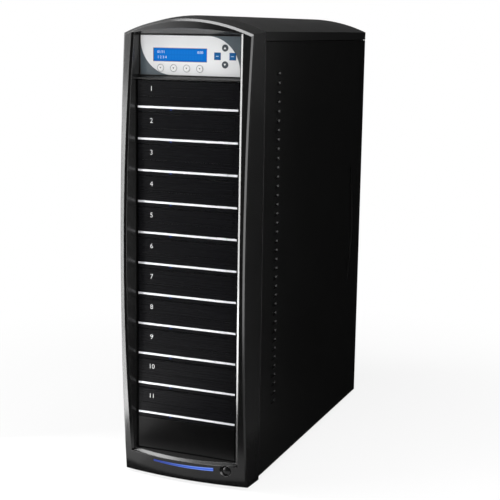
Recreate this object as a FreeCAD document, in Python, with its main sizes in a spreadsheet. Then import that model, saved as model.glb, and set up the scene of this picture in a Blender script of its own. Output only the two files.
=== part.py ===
import FreeCAD, Part
import math
import os
from types import SimpleNamespace

import Sketcher
from FreeCAD import Placement, Rotation, Vector

# A free-standing disc duplicator tower: steel case, bowed front moulding, eleven tray drives,
# a control panel under the arched brow, and the supply and fans at the rear.
# Millimetres, +Z up, front towards -Y, origin on the floor under the middle of the tower.

DRIVES = 11
LOUVRES = 37
GRILLE_SLOTS = 9
FAN_BLADES = 7

SIZES = {
    # Steel case
    "case_width": 190,
    "case_depth": 442,
    "shoulder_drop": 7,
    "foot_height": 8,
    "sheet_gauge": 1,
    "panel_return": 8,
    "fold_radius": 0.8,
    "lip_gap": 0.8,
    "lip_height": 11.7,
    "crown_rise": 20,
    "flange_width": 14,
    # Clearances between pieces
    "sheet_gap": 0.2,
    "slide_gap": 0.4,
    "snap_gap": 0.3,
    # Front moulding
    "bezel_wall": 2.5,
    "bezel_drop": 4.5,
    "front_width": 182,
    "rim_drop": 6,
    "bow_radius": 2900,
    "bow_depth": 53,
    "bow_lift": 3.5,
    "plan_radius": 518,
    "ridge_bevel": 3,
    "pillar_width": 9.2,
    "pillar_bevel": 2,
    "window_bevel": 2.5,
    "sill_bevel": 3,
    "sill_height": 32,
    "ceiling_gap": 0.4,
    "sill_slope": 0.3,
    "ceiling_slope": 0.24,
    "ceiling_crown": 0.4,
    "ceiling_arch": 0.26,
    "crossbar_nose": 7.5,
    "crossbar_lip": 1.6,
    "crossbar_slope": 3.5,
    "crossbar_tail": 8,
    "crossbar_clear": 1.4,
    # Drives and their bays
    "drive_width": 146,
    "drive_height": 41.3,
    "drive_depth": 165,
    "drive_gap": 0.98,
    "bay_recess": 34.5,
    "drive_bezel_depth": 6,
    "drive_bezel_plate": 3,
    "can_gauge": 1,
    "door_side": 6,
    "door_height": 19.4,
    "door_margin": 1.2,
    "door_thickness": 3,
    "door_proud": 0.3,
    "strip_height": 2.7,
    "strip_level": 6.2,
    "strip_proud": 0.6,
    "strip_margin": 0.5,
    "eject_left": 43.5,
    "eject_width": 14.5,
    "eject_proud": 0.9,
    "eject_gap": 0.5,
    "eject_shoulder": 1,
    "light_offset": 24,
    "light_width": 2.2,
    "light_height": 2,
    "light_level": 3.5,
    # Disc tray
    "tray_side": 2.5,
    "tray_length": 150,
    "tray_thickness": 7,
    "tray_lift": 1.3,
    "disc_diameter": 121,
    "disc_setback": 68,
    "well_depth": 3,
    "small_well_diameter": 82,
    "small_well_depth": 1,
    "spindle_slot_width": 38,
    "deck_thickness": 3,
    "rail_height": 8,
    "spindle_diameter": 30,
    # Blank bay
    "blank_height": 44.4,
    "bay_gap": 0.85,
    "blank_plate": 3,
    "blank_tongue": 12,
    "blank_tongue_inset": 3,
    # Control panel
    "panel_recess": 28,
    "panel_height": 52.4,
    "panel_plate": 3,
    "panel_rim_depth": 14,
    "panel_rim_wall": 2,
    "overlay_side": 1.5,
    "overlay_gauge": 0.3,
    "overlay_margin": 0.6,
    "display_left": 52.8,
    "display_right": 24.5,
    "display_bottom": 18.3,
    "display_top": 35.5,
    "display_border": 2,
    "display_depth": 8,
    "display_inset": 0.4,
    "board_gauge": 1.6,
    "board_margin": 7,
    "board_depth": 14,
    "switch_size": 6,
    "switch_height": 3.5,
    "key_diameter": 8.6,
    "key_proud": 0.9,
    "key_round": 0.6,
    "key_flange": 1,
    "key_stem_diameter": 4,
    "key_travel": 0.8,
    "square_key_width": 8.7,
    "square_key_height": 9,
    "cluster_across": 50.2,
    "cluster_level": 26.3,
    "cluster_reach": 10.7,
    "hotkey_first": 42.2,
    "hotkey_pitch": 18.93,
    "hotkey_level": 9.6,
    # Chin
    "bar_left": 44,
    "bar_right": 46,
    "bar_level": 18.4,
    "bar_left_height": 2.6,
    "bar_right_height": 4.2,
    "bar_radius": 700,
    "bar_back": 40,
    "bar_proud": 0.4,
    "power_inset": 31,
    "power_level": 17.5,
    "power_diameter": 12.4,
    "power_sink": 0.2,
    "power_dome": 1.8,
    "power_recess": 2.2,
    "power_recess_diameter": 16.4,
    "power_boss_wall": 3.5,
    "power_boss_depth": 6,
    "power_flange": 0.8,
    # Side panels
    "louvre_start": 43,
    "louvre_length": 15,
    "louvre_drop": 40,
    "louvre_pitch": 12.68,
    "louvre_height": 4,
    "louvre_depth": 2.4,
    "grip_start": 377,
    "grip_bottom": 197,
    "grip_height": 206,
    "grip_bulge": 25,
    "grip_inner_bulge": 9,
    "grip_depth": 2.5,
    # Drive cage
    "cage_setback": 2,
    "cage_depth": 148,
    "cage_headroom": 7,
    "cage_gauge": 1.2,
    # Rear: fans and supply
    "fan_size": 80,
    "fan_depth": 25,
    "fan_bore": 76,
    "fan_screw_pitch": 71.5,
    "fan_screw_hole": 4.4,
    "fan_hub": 34,
    "fan_hub_depth": 19,
    "fan_boss_depth": 2.5,
    "fan_arm_width": 4,
    "fan_tip": 73,
    "fan_blade_gauge": 1.6,
    "fan_blade_sweep": 9,
    "fan_blade_chord": 15,
    "fan_running_gap": 0.6,
    "low_fan_level": 230,
    "high_fan_level": 430,
    "grille_radius": 36,
    "grille_pitch": 7.6,
    "grille_slot": 4,
    "supply_width": 150,
    "supply_height": 86,
    "supply_depth": 140,
    "supply_cutout_width": 132,
    "supply_cutout_margin": 6,
    "supply_fan_across": 28,
    "mains_across": 42,
    "inlet_level": 27,
    "rocker_level": 62,
    "inlet_flange_width": 32,
    "inlet_flange_height": 24,
    "inlet_flange_gauge": 1.5,
    "inlet_body_width": 27,
    "inlet_body_height": 20,
    "inlet_body_depth": 22,
    "inlet_mouth_width": 24,
    "inlet_mouth_height": 16.4,
    "inlet_mouth_depth": 17,
    "inlet_pin_width": 2,
    "inlet_pin_height": 4,
    "inlet_pin_length": 14,
    "inlet_pin_pitch": 7,
    "rocker_width": 13,
    "rocker_height": 19,
    "rocker_crown": 4.5,
    "rocker_dip": 1.3,
    "rocker_back": 2,
    "rocker_tilt": 8,
    "rocker_room": 1.5,
    # Feet and screws
    "foot_top_radius": 11,
    "foot_bottom_radius": 9,
    "foot_inset": 27,
    "foot_setback": 40,
    "screw_head_radius": 3.2,
    "screw_head_height": 2.2,
    "screw_radius": 1.4,
    "screw_hole_radius": 1.6,
    "screw_length": 6,
    "side_screw_inset": 4,
    "side_screw_low": 60,
    "side_screw_drop": 53,
    "supply_screw_inset": 4,
}

doc = FreeCAD.newDocument("disc_duplicator_tower")
sheet = doc.addObject("Spreadsheet::Sheet", "Sizes")
for row, (alias, number) in enumerate(SIZES.items(), start=1):
    sheet.set(f"A{row}", f"name {alias}")
    sheet.set(f"B{row}", str(number))
    sheet.setAlias(f"B{row}", alias)
doc.recompute()


class Size:
    """A length that carries its number and the sheet formula that gives it."""

    def __init__(self, value, text):
        self.value = float(value)
        self.text = text

    def __add__(self, other):
        other = size(other)
        return Size(self.value + other.value, f"({self.text} + {other.text})")

    def __sub__(self, other):
        other = size(other)
        return Size(self.value - other.value, f"({self.text} - {other.text})")

    def __mul__(self, other):
        other = size(other)
        return Size(self.value * other.value, f"({self.text} * {other.text})")

    def __truediv__(self, other):
        other = size(other)
        return Size(self.value / other.value, f"({self.text} / {other.text})")

    def __radd__(self, other):
        return size(other) + self

    def __rsub__(self, other):
        return size(other) - self

    def __rmul__(self, other):
        return size(other) * self

    def __neg__(self):
        return size(0) - self


def size(thing):
    if isinstance(thing, Size):
        return thing
    return Size(thing, f"({float(thing)!r})")


def root(thing):
    return Size(math.sqrt(thing.value), f"sqrt({thing.text})")


d = SimpleNamespace(**{alias: Size(number, f"Sizes.{alias}") for alias, number in SIZES.items()})
derived_names = []


def derived(alias, value):
    """Adds a worked-out size to the sheet under its own name."""
    derived_names.append(alias)
    row = len(SIZES) + len(derived_names)
    sheet.set(f"A{row}", f"name {alias}")
    sheet.set(f"B{row}", "=" + value.text.replace("Sizes.", ""))
    sheet.setAlias(f"B{row}", alias)
    return Size(value.value, f"Sizes.{alias}")


# Levels and planes that several pieces share
SEAM = derived("seam", (d.bow_depth - d.case_depth) / 2)
REAR = derived("rear", SEAM + d.case_depth)
HALF = d.case_width / 2
BASE = d.foot_height
BASE_TOP = BASE + d.sheet_gauge
CHASSIS_HALF = HALF - d.panel_return - d.sheet_gap
FASCIA = derived("fascia", SEAM - d.bay_recess)
FASCIA_BACK = FASCIA + d.drive_bezel_depth
PANEL = derived("panel_face", SEAM - d.panel_recess)
PANEL_BACK = PANEL + d.panel_plate
DRIVE_HALF = d.drive_width / 2
WINDOW_HALF = DRIVE_HALF + d.snap_gap
DOOR_HALF = DRIVE_HALF - d.door_side
TRAY_HALF = DOOR_HALF - d.tray_side

# The stack behind the window, from its sill up; the height of the case follows from it
SILL_DROP = d.sill_slope * (d.bay_recess - d.panel_recess)
BLANK_BOTTOM = derived("blank_bottom", BASE + d.sill_height - SILL_DROP + d.sheet_gauge)
BLANK_TOP = BLANK_BOTTOM + d.blank_height
BAY_PITCH = derived("bay_pitch", d.drive_height + d.drive_gap)
DRIVE_BOTTOM = derived("top_drive_bottom", BLANK_TOP + d.bay_gap + BAY_PITCH * (DRIVES - 1))
DRIVE_TOP = DRIVE_BOTTOM + d.drive_height
DOOR_SILL = derived("door_sill", DRIVE_TOP - d.door_margin - d.door_height)
TRAY_BOTTOM = DOOR_SILL + d.tray_lift
CROSSBAR_BOTTOM = derived("crossbar_bottom", DRIVE_TOP + d.crossbar_clear)
CROSSBAR_TOP = CROSSBAR_BOTTOM + d.crossbar_lip + d.crossbar_slope
PANEL_BOTTOM = derived("panel_bottom", CROSSBAR_TOP + d.snap_gap)
PANEL_TOP = derived("panel_top", PANEL_BOTTOM + d.panel_height)
CEILING = derived("ceiling", PANEL_TOP + d.ceiling_gap)
SIDE_TOP = derived("side_top", CEILING - d.shoulder_drop)
LIP_BOTTOM = SIDE_TOP + d.lip_gap
LIP_TOP = derived("lip_top", LIP_BOTTOM + d.lip_height)
CROWN = LIP_TOP + d.crown_rise
BEZEL_BOTTOM = BASE - d.bezel_drop

# The bowed front surface
REACH = d.bow_depth * 1.3
PLAN_SAG = d.plan_radius - root(d.plan_radius * d.plan_radius - d.front_width * d.front_width / 4)
MOUTH_HALF = d.front_width / 2 - d.pillar_width
SIDE_FLARE = derived("side_flare", (MOUTH_HALF - WINDOW_HALF) / (d.bow_depth - d.panel_recess))
BARREL_Y = derived("barrel_y", SEAM - d.bow_depth - PLAN_SAG + d.bow_radius)
BARREL_Z = derived("barrel_z", (BASE + SIDE_TOP) / 2 + d.bow_lift)

# Rear
REAR_INNER = derived("rear_inner", REAR - d.sheet_gauge)
SUPPLY_TOP = BASE_TOP + d.supply_height
SUPPLY_MID = BASE_TOP + d.supply_height / 2
INLET_Z = BASE_TOP + d.inlet_level
ROCKER_Z = BASE_TOP + d.rocker_level
doc.recompute()

nodes = []


def bind(thing, prop, value):
    thing.setExpression(prop, size(value).text)


def node(thing, label):
    """Marks a document object as a finished piece and gives it its name."""
    thing.Label = label
    nodes.append(thing)
    return thing


def arc_radius(half_chord, rise):
    return (half_chord * half_chord + rise * rise) / (2 * rise)


def barrel_face(across, level):
    """Y of the bowed front surface above a point of the front view."""
    sag = d.plan_radius - root(d.plan_radius * d.plan_radius - across * across)
    ring = d.bow_radius - sag
    rise = level - BARREL_Z
    return BARREL_Y - root(ring * ring - rise * rise)


# Part primitives and booleans


def block(name, x, y, z):
    """A box between its low and high values on each axis."""
    box = doc.addObject("Part::Box", name)
    for prop, axis, (low, high) in (("Length", "x", x), ("Width", "y", y), ("Height", "z", z)):
        bind(box, prop, size(high) - size(low))
        bind(box, f"Placement.Base.{axis}", low)
    return box


def rod(name, radius, x, y, z):
    """A cylinder along Y when y is a pair, or along Z when z is a pair."""
    bar = doc.addObject("Part::Cylinder", name)
    bind(bar, "Radius", radius)
    low, high = y if isinstance(y, tuple) else z
    bind(bar, "Height", size(high) - size(low))
    if isinstance(y, tuple):
        bar.Placement = Placement(Vector(), Rotation(Vector(1, 0, 0), -90))
        y = low
    else:
        z = low
    for axis, value in (("x", x), ("y", y), ("z", z)):
        bind(bar, f"Placement.Base.{axis}", value)
    return bar


def fuse(name, *pieces):
    joined = doc.addObject("Part::MultiFuse", name)
    joined.Shapes = list(pieces)
    joined.Refine = True
    return joined


def group(name, pieces):
    bundle = doc.addObject("Part::Compound", name)
    bundle.Links = list(pieces)
    return bundle


def cut(name, base, *tools):
    result = doc.addObject("Part::Cut", name)
    result.Base = base
    result.Tool = tools[0] if len(tools) == 1 else group(f"{name}_tools", tools)
    result.Refine = True
    return result


def common(name, base, tool):
    result = doc.addObject("Part::Common", name)
    result.Base = base
    result.Tool = tool
    return result


def place(name, model, x=0, y=0, z=0):
    """A further copy of a modelled piece, set at its own place."""
    copy = doc.addObject("App::Link", name)
    copy.LinkedObject = model
    for axis, value in (("x", x), ("y", y), ("z", z)):
        bind(copy, f"Placement.Base.{axis}", value)
    return copy


# PartDesign bodies and sketches


def new_body(name):
    body = doc.addObject("PartDesign::Body", name)
    body.AllowCompound = True
    return body


def origin_feature(body, role):
    return next(part for part in body.Origin.OriginFeatures if part.Role == role)


def sketch(body, name, plane, level=0):
    """A sketch on one of the body's planes, moved along that plane's own axis to a level."""
    profile = body.newObject("Sketcher::SketchObject", name)
    profile.AttachmentSupport = [(origin_feature(body, plane), "")]
    profile.MapMode = "FlatFace"
    shift = -size(level) if plane == "XZ_Plane" else size(level)
    bind(profile, "AttachmentOffset.Base.z", shift)
    return profile


def constrain(profile, kind, *places):
    *ids, value = places
    index = profile.addConstraint(Sketcher.Constraint(kind, *ids, size(value).value))
    profile.setExpression(f"Constraints[{index}]", size(value).text)


def arc_segment(start, end, radius, turn):
    """A circular arc from start to end; turn is 1 anticlockwise and -1 clockwise."""
    chord = end - start
    side = Vector(-chord.y, chord.x, 0).normalize() * turn
    centre = (start + end) / 2 + side * math.sqrt(max(radius**2 - chord.Length**2 / 4, 0))
    first, last = (start, end) if turn > 0 else (end, start)
    low = math.atan2(first.y - centre.y, first.x - centre.x)
    high = math.atan2(last.y - centre.y, last.x - centre.x)
    if high < low:
        high += 2 * math.pi
    return Part.ArcOfCircle(Part.Circle(centre, Vector(0, 0, 1), radius), low, high)


def outline(profile, points, arcs=None):
    """A closed outline through points; arcs maps a segment's number to its radius and turn."""
    arcs = arcs or {}
    corners = [(size(x), size(y)) for x, y in points]
    spots = [Vector(x.value, y.value, 0) for x, y in corners]
    ends = []
    for k, spot in enumerate(spots):
        nearest = spots[(k + 1) % len(spots)]
        if k in arcs:
            radius, turn = arcs[k]
            index = profile.addGeometry(arc_segment(spot, nearest, size(radius).value, turn))
            ends.append((index, 1, 2) if turn > 0 else (index, 2, 1))
        else:
            index = profile.addGeometry(Part.LineSegment(spot, nearest))
            ends.append((index, 1, 2))
    for k, (index, start, _) in enumerate(ends):
        before, _, finish = ends[k - 1]
        profile.addConstraint(Sketcher.Constraint("Coincident", before, finish, index, start))
    for (index, start, _), (x, y) in zip(ends, corners):
        constrain(profile, "DistanceX", -1, 1, index, start, x)
        constrain(profile, "DistanceY", -1, 1, index, start, y)
    for k, (radius, _) in arcs.items():
        constrain(profile, "Radius", ends[k][0], radius)


def rectangle(profile, x, y):
    outline(profile, [(x[0], y[0]), (x[1], y[0]), (x[1], y[1]), (x[0], y[1])])


def circle(profile, x, y, radius):
    spot = Vector(size(x).value, size(y).value, 0)
    index = profile.addGeometry(Part.Circle(spot, Vector(0, 0, 1), size(radius).value))
    constrain(profile, "DistanceX", -1, 1, index, 3, x)
    constrain(profile, "DistanceY", -1, 1, index, 3, y)
    constrain(profile, "Radius", index, radius)


def pad(body, profile, length):
    """Thickens a sketch along its normal: +Z from XY, +X from YZ and -Y from XZ."""
    feature = body.newObject("PartDesign::Pad", f"{profile.Name}_pad")
    feature.Profile = profile
    bind(feature, "Length", length)
    return feature


def pocket(body, profile, length):
    """Cuts a sketch against its normal: -Z from XY, -X from YZ and +Y from XZ."""
    feature = body.newObject("PartDesign::Pocket", f"{profile.Name}_pocket")
    feature.Profile = profile
    bind(feature, "Length", length)
    return feature


def revolve(body, profile, axis):
    feature = body.newObject("PartDesign::Revolution", f"{profile.Name}_turn")
    feature.Profile = profile
    feature.ReferenceAxis = (origin_feature(body, axis), [""])
    feature.Angle = 360
    return feature


def round_edges(body, feature, radius, wanted):
    """Rounds the edges of the last feature whose two ends pass a test."""
    doc.recompute()
    names = [
        f"Edge{index}"
        for index, edge in enumerate(feature.Shape.Edges, start=1)
        if all(wanted(corner.Point) for corner in edge.Vertexes)
    ]
    fillet = body.newObject("PartDesign::Fillet", f"{feature.Name}_round")
    fillet.Base = (feature, names)
    bind(fillet, "Radius", radius)
    return fillet


def near(value, target):
    return abs(value - size(target).value) < 0.01


# Steel case


def top_cover():
    """Vaulted sheet whose lips fold in above the side panels."""
    body = new_body("cover")
    gauge = d.sheet_gauge
    radius = arc_radius(HALF, d.crown_rise)
    inner_radius = radius - gauge
    inner = HALF - gauge
    inner_top = CROWN - radius + root(inner_radius * inner_radius - inner * inner)
    fold = HALF - d.panel_return
    profile = sketch(body, "cover_section", "XZ_Plane", REAR)
    points = [
        (fold, LIP_BOTTOM),
        (HALF, LIP_BOTTOM),
        (HALF, LIP_TOP),
        (-HALF, LIP_TOP),
        (-HALF, LIP_BOTTOM),
        (-fold, LIP_BOTTOM),
        (-fold, LIP_BOTTOM + gauge),
        (-inner, LIP_BOTTOM + gauge),
        (-inner, inner_top),
        (inner, inner_top),
        (inner, LIP_BOTTOM + gauge),
        (fold, LIP_BOTTOM + gauge),
    ]
    outline(profile, points, {2: (radius, 1), 8: (inner_radius, -1)})
    pad(body, profile, d.case_depth)
    return node(body, "top_cover")


def side_screw_levels():
    low = BASE + d.side_screw_low
    high = SIDE_TOP - d.side_screw_drop
    return [low, (low + high) / 2, high]


def side_panel(label, side):
    """Folded steel pan with a column of louvres and a crescent finger grip."""
    body = new_body(label)
    gauge = d.sheet_gauge
    face = side * HALF
    back = side * (HALF - gauge)
    fold = side * (HALF - d.panel_return)

    plan = sketch(body, f"{label}_plan", "XY_Plane", BASE)
    points = [
        (fold, SEAM),
        (face, SEAM),
        (face, REAR),
        (fold, REAR),
        (fold, REAR - gauge),
        (back, REAR - gauge),
        (back, SEAM + gauge),
        (fold, SEAM + gauge),
    ]
    outline(plan, points)
    sheet_pad = pad(body, plan, SIDE_TOP - BASE)
    corners = (SEAM.value, REAR.value)
    rounded = round_edges(
        body,
        sheet_pad,
        d.fold_radius,
        lambda p: near(p.x, face) and min(abs(p.y - end) for end in corners) < 0.01,
    )
    for name, level in (("low", BASE), ("high", SIDE_TOP - gauge)):
        fold_plan = sketch(body, f"{label}_{name}", "XY_Plane", level)
        rectangle(fold_plan, sorted((fold, back), key=lambda s: s.value), (SEAM + gauge, REAR - gauge))
        pad(body, fold_plan, gauge)

    # Finger grip: a crescent dished into the sheet
    grip_top = BASE + d.grip_bottom + d.grip_height
    grip_foot = BASE + d.grip_bottom
    outer_arc = arc_radius(d.grip_height / 2, d.grip_bulge)
    inner_arc = arc_radius(d.grip_height / 2, d.grip_inner_bulge)
    grip_y = SEAM + d.grip_start
    low_x, high_x = sorted((face, side * (HALF - gauge - d.grip_depth)), key=lambda s: s.value)
    dish_wall = sketch(body, f"{label}_dish", "YZ_Plane", low_x)
    spread = gauge
    crescent_wall = [(grip_y - spread, grip_foot - spread), (grip_y - spread, grip_top + spread)]
    outline(dish_wall, crescent_wall, {
        0: (arc_radius(d.grip_height / 2 + spread, d.grip_bulge + 2 * spread), 1),
        1: (arc_radius(d.grip_height / 2 + spread, d.grip_inner_bulge), -1),
    })
    pad(body, dish_wall, high_x - low_x)
    dish_high = face if side > 0 else side * (HALF - d.grip_depth)
    dish = sketch(body, f"{label}_grip", "YZ_Plane", dish_high)
    outline(dish, [(grip_y, grip_foot), (grip_y, grip_top)], {0: (outer_arc, 1), 1: (inner_arc, -1)})
    pocket(body, dish, d.grip_depth)

    # Louvres: flaps set inwards over downward openings, repeated down the sheet
    start = SEAM + d.louvre_start
    end = start + d.louvre_length
    flap_top = SIDE_TOP - d.louvre_drop
    deep = side * (HALF - d.louvre_depth)
    wall = side * (HALF - d.louvre_depth - gauge)
    middle = side * (HALF - gauge / 2)
    flap = sketch(body, f"{label}_flap", "XY_Plane", flap_top - d.louvre_height)
    slant = end - d.louvre_depth
    outline(flap, [(middle, start - gauge), (middle, end + gauge), (wall, slant), (wall, start - gauge)])
    flap_pad = pad(body, flap, d.louvre_height + gauge)
    recess = sketch(body, f"{label}_recess", "XY_Plane", flap_top)
    outline(recess, [(face, start), (face, end), (deep, slant), (deep, start)])
    recess_cut = pocket(body, recess, d.louvre_height)
    column = body.newObject("PartDesign::LinearPattern", f"{label}_column")
    column.Originals = [flap_pad, recess_cut]
    column.Direction = (origin_feature(body, "Z_Axis"), [""])
    column.Reversed = True
    column.Mode = "Spacing"
    bind(column, "Offset", d.louvre_pitch)
    column.Occurrences = LOUVRES
    body.Tip = column

    # Screw holes in the rear fold
    holes = sketch(body, f"{label}_holes", "XZ_Plane", REAR - gauge)
    for level in side_screw_levels():
        circle(holes, side * (HALF - d.side_screw_inset), level, d.screw_hole_radius)
    pocket(body, holes, gauge)
    return node(body, label)


def base_pan():
    """Floor of the case with a flange turned up at the front and along both sides."""
    gauge = d.sheet_gauge
    front = SEAM + d.sheet_gap
    back = REAR_INNER - d.sheet_gap
    tall = BASE + d.flange_width
    pieces = [block("pan_floor", (-CHASSIS_HALF, CHASSIS_HALF), (front, back), (BASE, BASE_TOP))]
    pieces.append(block("pan_front", (-CHASSIS_HALF, CHASSIS_HALF), (front, front + gauge), (BASE, tall)))
    for name, edge in (("pan_left", -CHASSIS_HALF), ("pan_right", CHASSIS_HALF - gauge)):
        pieces.append(block(name, (edge, edge + gauge), (front, back), (BASE, tall)))
    return node(fuse("pan", *pieces), "base_pan")


def fan_places():
    """Centres of the case fans and of the supply's own fan, in the plane of the rear panel."""
    return [
        (size(0), BASE + d.low_fan_level),
        (size(0), BASE + d.high_fan_level),
        (-d.supply_fan_across, SUPPLY_MID),
    ]


def grille(name, centre, y):
    """Level slots that fill a round vent."""
    x, z = centre
    slots = []
    for k in range(GRILLE_SLOTS):
        offset = d.grille_pitch * (k - (GRILLE_SLOTS - 1) / 2)
        half = root(d.grille_radius * d.grille_radius - offset * offset)
        level = z + offset
        low = level - d.grille_slot / 2
        slots.append(block(f"{name}_{k}", (x - half, x + half), y, (low, low + d.grille_slot)))
    return slots


def fan_screw_places():
    half = d.fan_screw_pitch / 2
    return [(x + sx * half, z + sz * half) for x, z in fan_places()[:2] for sx in (-1, 1) for sz in (-1, 1)]


def supply_screw_places():
    half = d.supply_width / 2 - d.supply_screw_inset
    levels = (BASE_TOP + d.supply_screw_inset, SUPPLY_TOP - d.supply_screw_inset)
    return [(side * half, level) for side in (-1, 1) for level in levels]


def rear_panel():
    """Arched back sheet, punched for the fans and open over the power supply."""
    gauge = d.sheet_gauge
    radius = arc_radius(HALF, d.crown_rise) - gauge - d.snap_gap
    shoulder = CROWN - gauge - d.snap_gap - radius + root(radius * radius - CHASSIS_HALF * CHASSIS_HALF)
    body = new_body("back_sheet")
    profile = sketch(body, "back_outline", "XZ_Plane", REAR)
    edge = CHASSIS_HALF
    outline(profile, [(-edge, BASE), (edge, BASE), (edge, shoulder), (-edge, shoulder)], {2: (radius, 1)})
    pad(body, profile, gauge)
    for name, edge in (("left", -CHASSIS_HALF), ("right", CHASSIS_HALF - gauge)):
        flange = sketch(body, f"back_flange_{name}", "XZ_Plane", REAR_INNER)
        rectangle(flange, (edge, edge + gauge), (BASE + 2 * d.flange_width, SIDE_TOP))
        pad(body, flange, d.flange_width)

    through = (REAR - 2 * gauge, REAR + gauge)
    tools = []
    for k, centre in enumerate(fan_places()[:2]):
        tools += grille(f"back_vent_{k}", centre, through)
    half = d.supply_cutout_width / 2
    margin = d.supply_cutout_margin
    tools.append(block("supply_cutout", (-half, half), through, (BASE_TOP + margin, SUPPLY_TOP - margin)))
    for k, (x, z) in enumerate(fan_screw_places() + supply_screw_places()):
        tools.append(rod(f"back_hole_{k}", d.screw_hole_radius, x, through, z))
    return node(cut("back", body, *tools), "rear_panel")


def drive_cage():
    """Two folded uprights that the drives are screwed between."""
    gauge = d.cage_gauge
    near_face = DRIVE_HALF + d.snap_gap
    far = CHASSIS_HALF - d.sheet_gauge - d.sheet_gap
    front = SEAM + d.cage_setback
    back = front + d.cage_depth
    uprights = []
    for name, side in (("left", -1), ("right", 1)):
        body = new_body(f"cage_{name}")
        plan = sketch(body, f"cage_{name}_plan", "XY_Plane", BASE_TOP)
        points = [
            (near_face, front),
            (far, front),
            (far, front + gauge),
            (near_face + gauge, front + gauge),
            (near_face + gauge, back - gauge),
            (far, back - gauge),
            (far, back),
            (near_face, back),
        ]
        outline(plan, [(side * x, y) for x, y in points])
        pad(body, plan, SIDE_TOP - d.cage_headroom - BASE_TOP)
        uprights.append(body)
    return node(group("cage", uprights), "drive_cage")


def rubber_feet():
    feet = []
    for x in (d.foot_inset - HALF, HALF - d.foot_inset):
        for y in (SEAM + d.foot_setback, REAR - d.foot_setback):
            foot = doc.addObject("Part::Cone", "foot")
            bind(foot, "Radius1", d.foot_bottom_radius)
            bind(foot, "Radius2", d.foot_top_radius)
            bind(foot, "Height", d.foot_height)
            bind(foot, "Placement.Base.x", x)
            bind(foot, "Placement.Base.y", y)
            feet.append(foot)
    return node(group("feet", feet), "rubber_feet")


def case_screws():
    """Round-head screws: side panels, fans and power supply."""
    body = new_body("screw_model")
    profile = sketch(body, "screw_half", "XY_Plane")
    head = d.screw_head_radius
    outline(
        profile,
        [
            (0, -d.screw_length),
            (d.screw_radius, -d.screw_length),
            (d.screw_radius, 0),
            (head, 0),
            (head, d.screw_head_height / 2),
            (0, d.screw_head_height),
        ],
        {4: (arc_radius(head, d.screw_head_height / 2), 1)},
    )
    revolve(body, profile, "Y_Axis")
    inset = HALF - d.side_screw_inset
    places = [(side * inset, level) for side in (-1, 1) for level in side_screw_levels()]
    places += fan_screw_places() + supply_screw_places()
    screws = [place(f"screw_{k}", body, x, REAR, z) for k, (x, z) in enumerate(places)]
    return node(group("screws", screws), "case_screws")


# Front moulding


def bezel_outline(body, name, depth, inset):
    """Front view of the moulding at one depth: straight sides under an arch."""
    draft = (d.case_width - d.front_width) / 2 / d.bow_depth
    half = HALF - draft * depth - inset
    high = LIP_TOP - d.rim_drop / d.bow_depth * depth - inset
    low = BEZEL_BOTTOM + inset
    profile = sketch(body, name, "XZ_Plane", SEAM - depth)
    points = [(-half, low), (half, low), (half, high), (-half, high)]
    outline(profile, points, {2: (arc_radius(half, d.crown_rise), 1)})
    return profile


def bezel_block(name, inset):
    """Tapered block cut to the doubly bowed front surface."""
    body = new_body(f"{name}_loft")
    loft = body.newObject("PartDesign::AdditiveLoft", f"{name}_taper")
    loft.Profile = bezel_outline(body, f"{name}_rear", size(0), inset)
    loft.Sections = [bezel_outline(body, f"{name}_front", REACH, inset)]
    loft.Ruled = True
    barrel = doc.addObject("Part::Torus", f"{name}_barrel")
    barrel.Placement = Placement(Vector(), Rotation(Vector(0, 1, 0), 90))
    bind(barrel, "Radius1", d.bow_radius - d.plan_radius)
    bind(barrel, "Radius2", d.plan_radius - inset)
    bind(barrel, "Placement.Base.y", BARREL_Y)
    bind(barrel, "Placement.Base.z", BARREL_Z)
    return common(name, body, barrel)


def window_outline(body, name, depth, margin):
    """Front view of the window at one depth: it flares forwards and its top turns into an arch."""
    flare = depth - d.panel_recess
    half = WINDOW_HALF + margin + SIDE_FLARE * flare
    low = BASE + d.sill_height - margin - d.sill_slope * flare
    high = CEILING + margin + d.ceiling_slope * flare
    rise = d.ceiling_crown + d.ceiling_arch * flare
    profile = sketch(body, name, "XZ_Plane", SEAM - depth)
    points = [(-half, low), (half, low), (half, high), (-half, high)]
    outline(profile, points, {2: (arc_radius(half, rise), 1)})
    return profile


def bezel_window(name, margin, tail):
    """Flared window in front of the bays, straight behind the control panel's plane."""
    body = new_body(name)
    straight = pad(body, window_outline(body, f"{name}_neck", d.panel_recess, margin), d.panel_recess + tail)
    straight.Reversed = True
    funnel = body.newObject("PartDesign::AdditiveLoft", f"{name}_funnel")
    funnel.Profile = window_outline(body, f"{name}_back", d.panel_recess, margin)
    funnel.Sections = [window_outline(body, f"{name}_mouth", REACH, margin)]
    funnel.Ruled = True
    return body


def crossbar():
    """Slanted bar between the top drive and the control panel."""
    body = new_body("crossbar")
    half = WINDOW_HALF + d.bezel_wall + SIDE_FLARE * d.crossbar_nose / 2
    low = CROSSBAR_BOTTOM
    nose = low + d.crossbar_lip
    top = CROSSBAR_TOP
    profile = sketch(body, "crossbar_section", "YZ_Plane", -half)
    front = PANEL - d.crossbar_nose
    tail = PANEL + d.crossbar_tail
    outline(profile, [(front, low), (tail, low), (tail, top), (PANEL, top), (front, nose)])
    pad(body, profile, 2 * half)
    return body


def bar_body(name, margin, back):
    """Crescent prism of the light bar, or of its slot when given a margin."""
    body = new_body(name)
    left = -d.bar_left - margin
    right = d.bar_right + margin
    level = BASE + d.bar_level
    left_half = d.bar_left_height / 2 + margin
    right_half = d.bar_right_height / 2 + margin
    profile = sketch(body, f"{name}_crescent", "XZ_Plane", SEAM - back)
    points = [
        (left, level - left_half),
        (right, level - right_half),
        (right, level + right_half),
        (left, level + left_half),
    ]
    outline(profile, points, {0: (d.bar_radius, 1), 2: (d.bar_radius, -1)})
    pad(body, profile, REACH - back)
    return body


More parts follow.
